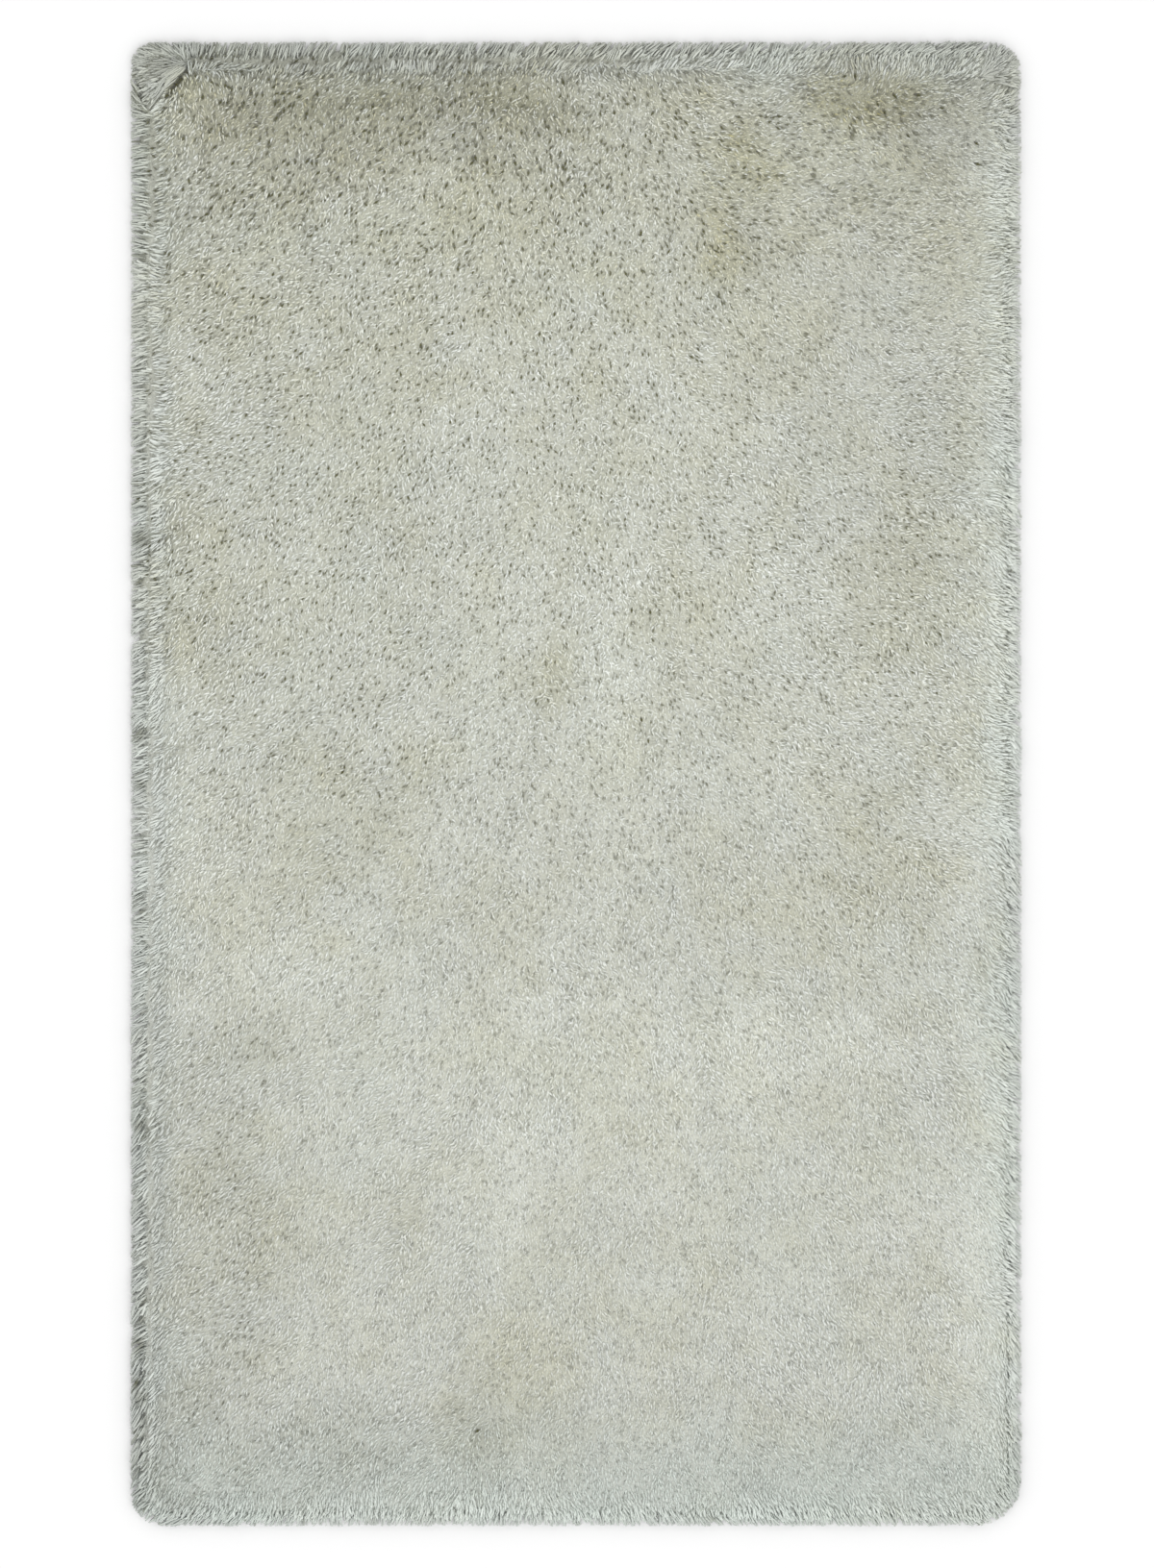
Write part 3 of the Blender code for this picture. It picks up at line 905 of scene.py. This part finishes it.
borderPile = {
    "pitch": 0.00350,
    "shift": 0.36,
    "from": (0.0040, 0.0190),  # how deep inside it starts: at the foot and right, at the top and left
    "wander": (0.045, 0.0048),  # size and reach of the waves in that line at the top and left
    "blur": (0.0025, 0.0015),  # how far single ends start on either side of it
    "length": 0.0200,
    "shares": (0.0, 0.52, 0.84, 1.0),
    "rootTilt": 0.5,
    "radii": (0.00100, 0.00105),
    "spread": 0.16,
    "limits": (0.0006, 0.0016),
}

# Of a pair, the first is for the foot and right and the second for the top and left, unless noted.
rimPile = {
    "locks": 600,
    "yarns": 18,
    "jitter": 0.3,  # how far a lock lies from its even place, in locks
    "apart": 0.75,  # and its ends from its own middle
    "length": (0.024, 0.032),  # the shortest and the longest
    "short": (0.78, 1.0),  # times that length
    "outShort": (0.85, 1.0),  # and times this, for the outermost tips and for the innermost
    "shares": (0.0, 0.50, 0.95, 1.0),
    "radii": (0.00105, 0.00100),  # of the lower ring and of the upper one
    "spread": 0.15,
    "share": (0.75, 1.0),  # share of the yarn that is there
    "layers": (0.0080, 0.0220),  # the innermost tips lie this far in
    "crowd": (1.2, 2.6),  # how far the tips crowd to the outline
    "stack": 0.0070,  # at the outline the ends lie this thick on each other
    "topZ": (0.0110, 0.0135),  # height of the innermost tips
    "lowZ": 0.0014,  # and of the outermost
    "rise": 0.8,  # the power by which the tips rise from the one to the other
    "uneven": 0.0007,  # how much the ends differ in height
    "tone": (0.06, 0.11),  # how much the tone differs from end to end
    "lockTone": 0.8,  # times that, from lock to lock
    "under": (0.02, 0.13),  # share of the ends that lie below the others, in their shade, which is painted on them
    "underDrop": 0.0016,
    "underShade": (0.25, 0.60),  # how much painted shade those get, at the least and at the most
    "lockTurn": 9,  # degrees by which the heading differs from lock to lock
    "sway": (0.070, 14),  # size in metres and degrees of the waves in it
    "yarnTurn": 7,  # degrees by which it differs from end to end
    "outward": 0.5,  # ends that point outwards by less than this share are turned outwards
    "curl": 16,  # degrees by which the locks bend sideways
    "endCurl": 4,  # and the single ends
    "rootLift": (24, 34, 4),  # degrees up from flat at the root: outermost, more for the innermost, spread
    "tipLift": (-24, 20, 5),  # and at the tip
    "stackLift": -10,  # more there for the ends that lie on others
    "draw": (0.0002, 0.0006),  # locks end this much short of the outline, or less
    "ragged": (0.0005, 0.0009),  # and single ends this much more
    "past": 0.0014,  # but all this much beyond it, as their last bit is thin
    "gather": 0.25,  # how far the outermost tips of a lock draw together
}


fans = {
    "crowns": (  # x, y, headings from and to, reach of the longest, yarns
        (-0.399, 0.737, 80, 230, 0.060, 500),
        (0.414, 0.724, -14, 74, 0.046, 240),
    ),
    "dim": 0.77,  # painted shade: times the tone of the other pile, as they lie flat with few gaps to shade them
    "start": 0.010,  # the nearest tip is this far from their crown
    "crowd": 0.7,  # tips crowd away from it by this power
    "behind": 0.004,  # no end starts more than this behind it
    "inside": 0.0004,  # no tip comes closer to the outline
    "lowest": 0.0016,  # or to the floor
    "thin": 0.22,  # share of the other pile that is left under them
    "length": (0.024, 0.034),
    "shares": (0.0, 0.45, 0.94, 1.0),
    "radii": (0.00100, 0.00095),
    "spread": 0.15,
    "turn": 5,  # degrees by which the heading differs from end to end
    "curl": 14,  # degrees by which the ends bend sideways
    "tipLift": (-16, 5),  # degrees up from flat at the tip, and their spread
    "rootLift": (42, 8),
    "above": (-0.0010, 0.0014),  # tips lie between these heights above the pile's top
    "under": 0.30,  # share of the ends that lie below the others
    "shade": 0.3,  # how much the ends differ in shade
}


def underFan(x, y):
    # which places lie in a fan, and the way out from its crown there
    covered = np.zeros(len(x), bool)
    away = np.zeros((len(x), 2))
    for atX, atY, start, end, reach, _ in fans["crowns"]:
        heading = (np.degrees(np.arctan2(y - atY, x - atX)) - start) % 360
        own = (np.hypot(x - atX, y - atY) < reach) & (heading < end - start)
        away[own] = normalised(np.stack([x[own] - atX, y[own] - atY], axis=1))
        covered |= own
    return covered, away


def liftedWays(way, curl, tipLift, rootLift):
    # the ways of each end at its tip and at its root, bent sideways and lifted, both in degrees
    both = []
    for turn, lift in ((curl / 2, tipLift), (-curl / 2, rootLift)):
        lift = np.radians(lift)[:, None]
        both.append(np.concatenate([turnedWay(way, turn) * np.cos(lift), np.sin(lift)], axis=1))
    return both


def setPaintedShade(values, points, way, under, rng):
    # painted shade on each end at each of its points; those that lie below the others get painted shade all
    # along
    lowerShade = under * between(rimPile["underShade"], rng.uniform(0, 1, len(under)))
    values["paintedShade"] = np.maximum(paintedShadeAt(points, way) * values.pop("gap")[:, None], lowerShade[:, None])


def makeFans(material):
    # long yarn that falls away from a crown near each upper corner
    rng = np.random.default_rng(rug["seed"] + 6)
    crowns = np.repeat(np.array(fans["crowns"]), [int(row[5]) for row in fans["crowns"]], axis=0)
    heading = rng.uniform(crowns[:, 2], crowns[:, 3])
    far = between((fans["start"], crowns[:, 4]), rng.uniform(0, 1, len(crowns)) ** fans["crowd"])
    tip = crowns[:, :2] + headingWay(heading) * far[:, None]
    keep = depthInside(tip[:, 0], tip[:, 1]) > fans["inside"]
    tip = tip[keep]
    far = far[keep]
    heading = heading[keep] + fans["turn"] * rng.normal(0, 1, int(keep.sum()))
    count = len(tip)
    length = np.minimum(rng.uniform(*fans["length"], count), far + fans["behind"])
    under = rng.uniform(0, 1, count) < fans["under"]
    height = pileTop(tip[:, 0], tip[:, 1]) + rng.uniform(*fans["above"], count) - rimPile["underDrop"] * under
    tip = np.concatenate([tip, np.maximum(height, fans["lowest"])[:, None]], axis=1)
    curl = fans["curl"] * rng.normal(0, 1, count)
    tipLift = rng.normal(*fans["tipLift"], count)
    rootLift = rng.normal(*fans["rootLift"], count)
    way = headingWay(heading)
    tipWay, rootWay = liftedWays(way, curl, tipLift, rootLift)
    points = walkBack(tip, tipWay, rootWay, length, fans["shares"])
    grow = np.clip(1 + fans["spread"] * rng.normal(0, 1, count), *growLimits)
    radii = [r * grow for r in fans["radii"]]
    for one in points:
        one[:, 2] = np.maximum(one[:, 2], fans["lowest"])
    values = toneAt(tip[:, 0], tip[:, 1])
    values["light"] = values["light"] * fans["dim"]
    values["shade"] = np.clip(0.5 + fans["shade"] * rng.normal(0, 1, count), 0, 1)
    setPaintedShade(values, points, way, under, rng)
    print("fans:", count, "yarns")
    return makeYarn("pile_fans", points, fans["shares"], radii, rng, values, material)


def standingYarn(look, x, y, keep, rng):
    # the yarn at the places that are kept, fewer under a fan: their y, and centre points, radii and tones
    keep = keep & (~underFan(x, y)[0] | (rng.uniform(0, 1, len(x)) < fans["thin"]))
    x = x[keep]
    y = y[keep]
    length = look["length"] * rng.uniform(*tufts["lengths"], len(x))
    points, values = bentYarn(x, y, length, look["shares"], look["rootTilt"], rng)
    grow = 1 + look["spread"] * rng.normal(0, 1, len(x))
    return y, points, [np.clip(r * grow, *look["limits"]) for r in look["radii"]], values


def makeMiddlePile(material):
    rng = np.random.default_rng(rug["seed"])
    x, y = scatter(middlePile["pitch"], middlePile["shift"], rng)
    keep = depthInside(x, y) > middlePile["from"]
    y, points, radii, values = standingYarn(middlePile, x, y, keep, rng)
    rank = np.argsort(np.argsort(y, kind="stable"), kind="stable")
    band = rank * middlePile["bands"] // len(y)
    pieces = []
    for i in range(middlePile["bands"]):
        own = band == i
        part = {key: one[own] for key, one in values.items()}
        pieces.append(makeYarn(f"pile_middle_{i + 1}", [p[own] for p in points], middlePile["shares"],
                               [r[own] for r in radii], rng, part, material))
    print("middle pile:", len(y), "yarns")
    return pieces


def makeBorderPile(material):
    rng = np.random.default_rng(rug["seed"] + 1)
    x, y = scatter(borderPile["pitch"], borderPile["shift"], rng)
    depth = depthInside(x, y)
    shag = shagAt(x, y)
    size, reach = borderPile["wander"]
    start = between(borderPile["from"], shag) + reach * shag * blockNoise(x, y, size, 54)
    start += between(borderPile["blur"], shag) * rng.uniform(-1, 1, len(x))
    keep = (depth > start) & (depth <= middlePile["from"])
    y, points, radii, values = standingYarn(borderPile, x, y, keep, rng)
    print("border pile:", len(y), "yarns")
    return makeYarn("pile_border", points, borderPile["shares"], radii, rng, values, material)


def makeRimPile(material):
    rng = np.random.default_rng(rug["seed"] + 2)
    locks = rimPile["locks"]
    yarns = rimPile["yarns"]
    lockAt = (np.arange(locks) + rng.uniform(-rimPile["jitter"], rimPile["jitter"], locks)) / locks
    lockEdge, _ = outline(0.0, lockAt)
    lockShag = shagAt(lockEdge[:, 0], lockEdge[:, 1])
    lock = np.repeat(np.arange(locks), yarns)
    lock = lock[rng.uniform(0, 1, len(lock)) < between(rimPile["share"], lockShag[lock])]
    count = len(lock)
    shag = lockShag[lock]
    spreadAlong = rng.uniform(-rimPile["apart"], rimPile["apart"], count)
    layer = rng.uniform(0, 1, count) ** between(rimPile["crowd"], shag)
    at = (lockAt[lock] + spreadAlong * (1 - rimPile["gather"] * (1 - layer)) / locks) % 1.0
    edge, out = outline(0.0, at)
    rimWay, _, _ = blendedRows(lockEdge[:, 0], lockEdge[:, 1], lay["rim"])
    size, degrees = rimPile["sway"]
    lockTurn = rng.normal(0, rimPile["lockTurn"], locks)
    lockTurn += degrees * blockNoise(lockEdge[:, 0], lockEdge[:, 1], size, 91)
    way = turnedWay(rimWay[lock], lockTurn[lock] + rng.normal(0, rimPile["yarnTurn"], count))
    facing = np.sum(way * out, axis=1)
    way = normalised(way + out * np.clip(rimPile["outward"] - facing, 0, None)[:, None])
    draw = between(rimPile["draw"], lockShag) * rng.uniform(0, 1, locks)
    for atX, atY, half, back, _ in tones["notches"]:
        gap = np.hypot(lockEdge[:, 0] - atX, lockEdge[:, 1] - atY) / half
        draw = draw + back * np.exp(-gap ** 2)
    inset = draw[lock] + layer * between(rimPile["layers"], shag) - rimPile["past"]
    inset += between(rimPile["ragged"], shag) * rng.uniform(0, 1, count)
    under = rng.uniform(0, 1, count) < between(rimPile["under"], shag)
    tip = np.zeros((count, 3))
    tip[:, :2] = edge - out * inset[:, None]
    covered, away = underFan(tip[:, 0], tip[:, 1])
    away = turnedWay(away, rng.normal(0, rimPile["yarnTurn"], count))
    way = np.where(covered[:, None], away, way)
    stacked = rng.uniform(0, 1, count) * (1 - layer)
    top = between(rimPile["topZ"], shag)
    tip[:, 2] = between((rimPile["lowZ"], top), layer ** rimPile["rise"]) + rimPile["stack"] * stacked
    tip[:, 2] += rng.normal(0, rimPile["uneven"], count) - rimPile["underDrop"] * under
    length = rng.uniform(*rimPile["length"], count)
    length = length * between(rimPile["outShort"], layer) * between(rimPile["short"], shag)
    curl = rng.normal(0, rimPile["curl"], locks)[lock] + rng.normal(0, rimPile["endCurl"], count)
    base, more, spread = rimPile["rootLift"]
    rootLift = base + more * layer + rng.normal(0, spread, count)
    base, more, spread = rimPile["tipLift"]
    tipLift = base + more * layer + rimPile["stackLift"] * stacked + rng.normal(0, spread, count)
    tipWay, rootWay = liftedWays(way, curl, tipLift, rootLift)
    points = walkBack(tip, tipWay, rootWay, length, rimPile["shares"])
    grow = np.clip(1 + rimPile["spread"] * rng.normal(0, 1, count), *growLimits)
    radii = [r * grow for r in rimPile["radii"]]
    for k, one in enumerate(points):
        low = radii[k - 1] if 0 < k < len(points) - 1 else floorGap
        one[:, 2] = np.maximum(one[:, 2], low + floorGap)
    values = toneAt(tip[:, 0], tip[:, 1])
    tone = rimPile["lockTone"] * rng.normal(0, 1, locks)[lock] + rng.normal(0, 1, count)
    values["shade"] = np.clip(0.5 + between(rimPile["tone"], shag) * tone, 0, 1)
    setPaintedShade(values, points, way, under, rng)
    # painted shade in the notches between the locks
    for atX, atY, half, _, depth in tones["notches"]:
        gap = np.stack([np.hypot(p[:, 0] - atX, p[:, 1] - atY) / half for p in points], axis=1)
        values["paintedShade"] = np.maximum(values["paintedShade"], depth * np.exp(-gap ** 2))
    print("rim pile:", count, "yarns")
    return makeYarn("pile_rim", points, rimPile["shares"], radii, rng, values, material)


innerPile = {
    "inset": 0.0085,
    "pitch": 0.0098,
    "below": 0.0032,  # how far under the tips it lies
    "bump": 0.0004,
    "foot": 0.0010,
    "edgeHeight": 0.0040,  # its height along its own edge
    "slope": 0.9,  # and how steeply it rises from there at most
    "shade": 0.32,  # painted shade on it, as a share of that in the gaps
    "partingShade": 0.4,  # and how much more painted shade in the middle of a parting
    "rimCount": 600,  # points along its edge
    "shift": 0.25,
    "room": 0.004,  # the other points keep this far from the edge
}


def flatTriangles(look, rng):
    # triangles between the outline, drawn in by the inset, and scattered points inside it
    x, y = scatter(look["pitch"], look["shift"], rng)
    rimCount = look["rimCount"]
    rim, _ = outline(look["inset"], rimCount)
    keep = depthInside(x, y) > look["inset"] + look["room"]
    flat = [Vector(p) for p in rim] + [Vector(p) for p in zip(x[keep], y[keep])]
    loop = [(i, (i + 1) % rimCount) for i in range(rimCount)]
    flat, _, triangles, _, _, _ = delaunay_2d_cdt(flat, loop, [], 1, 1e-6)
    return np.array([(p.x, p.y) for p in flat]), np.array(triangles)


def makeSlab(name, look, flat, triangles, top, material, attributes):
    # a closed slab: its top from triangles seen from above, its underside one flat face
    count = len(flat)
    rimCount = look["rimCount"]
    upper = np.concatenate([flat, top[:, None]], axis=1)
    lower = np.concatenate([flat[:rimCount], np.full((rimCount, 1), look["foot"])], axis=1)
    rim = np.arange(rimCount)
    following = (rim + 1) % rimCount
    sides = np.stack([rim + count, following + count, following, rim], axis=1)
    faces = [triangles, sides, rim[::-1][None] + count]
    both = {key: np.concatenate([one, one[:rimCount]]) for key, one in attributes.items()}
    return makeMesh(name, np.concatenate([upper, lower]), faces, material, both)


gapShadeSliver = {
    "half": 1.75,  # times the gap's radius, half the length of the dark sliver of painted shade that shows in it
    "width": 0.62,  # times the gap's radius, half its width
    "lengths": (0.8, 1.2),  # times that length
    "widths": (0.85, 1.15),  # and that width
    "thick": 0.0006,
    "below": (0.0004, 0.0014),  # how far under the tips it lies
    "middleLow": 0.0020,  # its middle lies no lower
    "lowest": 0.0006,  # and none of it lower than this
    "lift": (10, 8),  # degrees up from flat, and their spread
    "turn": 24,  # degrees by which it turns from the lay
    "shade": (0.2, 0.8),
    "from": 0.006,  # how deep inside the rug it starts
}


def makeGapShade(material):
    # dark slivers shaped as short lengths of yarn: painted shade down in the gaps between the tufts, lying
    # along the lay
    rng = np.random.default_rng(rug["seed"] + 5)
    rows = pitTable[pitTable[:, :, 2] > 0]
    rows = rows[depthInside(rows[:, 0], rows[:, 1]) > gapShadeSliver["from"]]
    x = rows[:, 0]
    y = rows[:, 1]
    count = len(x)
    way, _, _ = layAt(x, y)
    way = turnedWay(normalised(way), rng.normal(0, gapShadeSliver["turn"], count))
    lift = np.radians(rng.normal(*gapShadeSliver["lift"], count))[:, None]
    reach = np.concatenate([way * np.cos(lift), np.sin(lift)], axis=1)
    reach = reach * (rows[:, 2] * gapShadeSliver["half"] * rng.uniform(*gapShadeSliver["lengths"], count))[:, None]
    side = np.stack([-way[:, 1], way[:, 0], np.zeros(count)], axis=1)
    side = side * (rows[:, 2] * gapShadeSliver["width"] * rng.uniform(*gapShadeSliver["widths"], count))[:, None]
    below = rng.uniform(*gapShadeSliver["below"], count)
    middle = np.stack([x, y, np.maximum(pileTop(x, y) - below, gapShadeSliver["middleLow"])], axis=1)
    low = middle - np.array([0, 0, gapShadeSliver["thick"]])
    # each is a closed sliver of four triangles: tail, head, left and right
    vertices = np.stack([low - reach, low + reach, middle + side, middle - side], axis=1).reshape(-1, 3)
    vertices[:, 2] = np.maximum(vertices[:, 2], gapShadeSliver["lowest"])
    sliver = np.array([(0, 3, 2), (1, 2, 3), (0, 2, 1), (0, 1, 3)])
    faces = ((np.arange(count) * 4)[:, None, None] + sliver[None]).reshape(-1, 3)
    values = toneAt(x, y)
    values["paintedShade"] = np.clip(values.pop("gap") * rows[:, 3], 0, 1)
    values["shade"] = rng.uniform(*gapShadeSliver["shade"], count)
    attributes = {key: np.repeat(one, 4) for key, one in values.items()}
    piece = makeMesh("pile_gaps", vertices, [faces], material, attributes)
    corners = np.array([(0.0, 0.5), (1.0, 0.5), (0.5, 1.0), (0.5, 0.0)])
    mapCells(piece, count, values, [corners[sliver.reshape(-1)][None]])
    print("gap yarn:", count, "slivers")
    return piece


def makeInnerPile(material):
    # the dense lower part of the pile, matted together
    rng = np.random.default_rng(rug["seed"] + 3)
    flat, triangles = flatTriangles(innerPile, rng)
    x = flat[:, 0]
    y = flat[:, 1]
    inside = depthInside(x, y) - innerPile["inset"]
    top = pileTop(x, y) - innerPile["below"] + innerPile["bump"] * rng.uniform(-1, 1, len(x))
    top = np.minimum(top, innerPile["edgeHeight"] + innerPile["slope"] * np.clip(inside, 0, None))
    values = toneAt(x, y)
    paintedShade = innerPile["shade"] + innerPile["partingShade"] * partingShade(x, y)
    values["paintedShade"] = values.pop("gap") * paintedShade
    values["shade"] = np.full(len(x), 0.5)
    print("inner pile:", len(flat), "points")
    return makeSlab("pile_inner", innerPile, flat, triangles, top, material, values)


backing = {
    "inset": 0.020,
    "pitch": 0.024,
    "top": 0.0026,
    "foot": 0.0002,
    "wave": (0.07, 0.0003),  # size and rise of the waves in it
    "rimCount": 260,
    "shift": 0.22,
    "room": 0.014,
    "colour": "#b9ad90",
    # the colour between the threads, which is painted shade
    "gap": "#6f654c",
    "thread": 0.0030,  # metres from one warp thread to the next
    "roughness": (0.92, 0.80),  # between the threads, and on them, where the floor has rubbed them
}


def makeBackingMaterial():
    # Cotton ground, plain woven and left unbleached: matt beige with a fine over-and-under grid, with painted
    # shade between the threads.
    material, tree, shader = newMaterial("cottonGroundWoven")
    place = addNode(tree, "ShaderNodeTexCoord").outputs["Object"]
    scale = 1 / backing["thread"] / 2
    waves = []
    for axis in ("X", "Y"):
        wave = addNode(tree, "ShaderNodeTexWave", {"wave_type": "BANDS", "bands_direction": axis},
                       {"Vector": place, "Scale": scale / math.pi, "Distortion": 0.4, "Detail": 1.0})
        waves.append(wave.outputs["Fac"])
    weave = addNode(tree, "ShaderNodeMath", {"operation": "MULTIPLY"}, {0: waves[0], 1: waves[1]}).outputs[0]
    base = addNode(tree, "ShaderNodeMix", {"data_type": "RGBA"},
                   {0: weave, 6: colour(backing["gap"]), 7: colour(backing["colour"])})
    tree.links.new(base.outputs[2], shader.inputs["Base Color"])
    bump = addNode(tree, "ShaderNodeBump", None, {"Strength": 0.5, "Distance": 0.0008, "Height": weave})
    tree.links.new(bump.outputs["Normal"], shader.inputs["Normal"])
    worn = addNode(tree, "ShaderNodeMapRange", None,
                   {"Value": weave, "To Min": backing["roughness"][0], "To Max": backing["roughness"][1]})
    tree.links.new(worn.outputs[0], shader.inputs["Roughness"])
    return material


def makeBacking():
    rng = np.random.default_rng(rug["seed"] + 4)
    flat, triangles = flatTriangles(backing, rng)
    size, rise = backing["wave"]
    top = backing["top"] + rise * (1 + blockNoise(flat[:, 0], flat[:, 1], size, 95))
    print("backing:", len(flat), "points")
    return makeSlab("backing", backing, flat, triangles, top, makeBackingMaterial(), {})


woolMaterial = makeWool("spunWoolCutPile", woolYarn)
pieces = makeMiddlePile(woolMaterial)
pieces.append(makeBorderPile(woolMaterial))
pieces.append(makeRimPile(woolMaterial))
pieces.append(makeFans(woolMaterial))
pieces.append(makeGapShade(woolMaterial))
pieces.append(makeInnerPile(makeWool("spunWoolMatted", woolDeep)))
ground = makeBacking()
for piece in pieces + [ground]:
    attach(piece, "root")
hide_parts("shag_rug")
bpy.context.view_layer.update()

studio = {
    "floor": "#e6e6e6",
    "floorSize": 8.0,
    "floorRoughness": 0.95,
    "floorSpecular": 0.2,
    "world": 1.06,
    "keyFrom": (0.20, -0.45, 1.0),
    "keyAngle": 60.0,
    "keyStrength": 0.80,
    "lens": 100.0,  # millimetres
    "sensor": 36.0,
    "tall": 1631,  # the picture's height in pixels
    "pixel": 1.524 / 1541,  # metres a pixel: the rug spans 1541 of them
    "centre": (1.0, 0.0),  # the picture's middle, in pixels to the right of the rug's and above it
    "planeHeight": 0.002,  # the height at which a pixel has that size, which is where the rim's tips lie
}


def makeStudio():
    world = bpy.data.worlds.new("softStudio")
    world.use_nodes = True
    background = world.node_tree.nodes["Background"]
    background.inputs["Color"].default_value = (1.0, 1.0, 1.0, 1.0)
    background.inputs["Strength"].default_value = studio["world"]
    bpy.context.scene.world = world
    half = studio["floorSize"] / 2
    corners = np.array([(-half, -half, 0), (half, -half, 0), (half, half, 0), (-half, half, 0)])
    material, _, shader = newMaterial("mattPaperFloor")
    shader.inputs["Base Color"].default_value = colour(studio["floor"])
    shader.inputs["Roughness"].default_value = studio["floorRoughness"]
    shader.inputs["Specular IOR Level"].default_value = studio["floorSpecular"]
    floor = makeMesh("floor", corners, [np.array([[0, 1, 2, 3]])], material, {})
    lamp = bpy.data.lights.new("key", "SUN")
    lamp.angle = math.radians(studio["keyAngle"])
    lamp.energy = studio["keyStrength"]
    key = bpy.data.objects.new("key", lamp)
    key.rotation_mode = "QUATERNION"
    key.rotation_quaternion = (-Vector(studio["keyFrom"])).to_track_quat("-Z", "Y")
    bpy.context.scene.collection.objects.link(key)
    print("studio made")


def makeCamera():
    data = bpy.data.cameras.new("camera")
    data.lens = studio["lens"]
    data.sensor_width = studio["sensor"]
    data.clip_end = 50.0
    camera = bpy.data.objects.new("camera", data)
    away = studio["tall"] * studio["pixel"] * studio["lens"] / studio["sensor"]
    offset = [v * studio["pixel"] for v in studio["centre"]]
    camera.location = (offset[0], offset[1], studio["planeHeight"] + away)
    bpy.context.scene.collection.objects.link(camera)
    bpy.context.scene.camera = camera
    print("camera at", round(away, 3), "m")


makeStudio()
makeCamera()
bpy.context.scene.view_settings.view_transform = "Standard"

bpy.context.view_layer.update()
for piece in pieces + [ground]:
    piece.data.calc_loop_triangles()
    print(piece.name, len(piece.data.loop_triangles), "triangles")
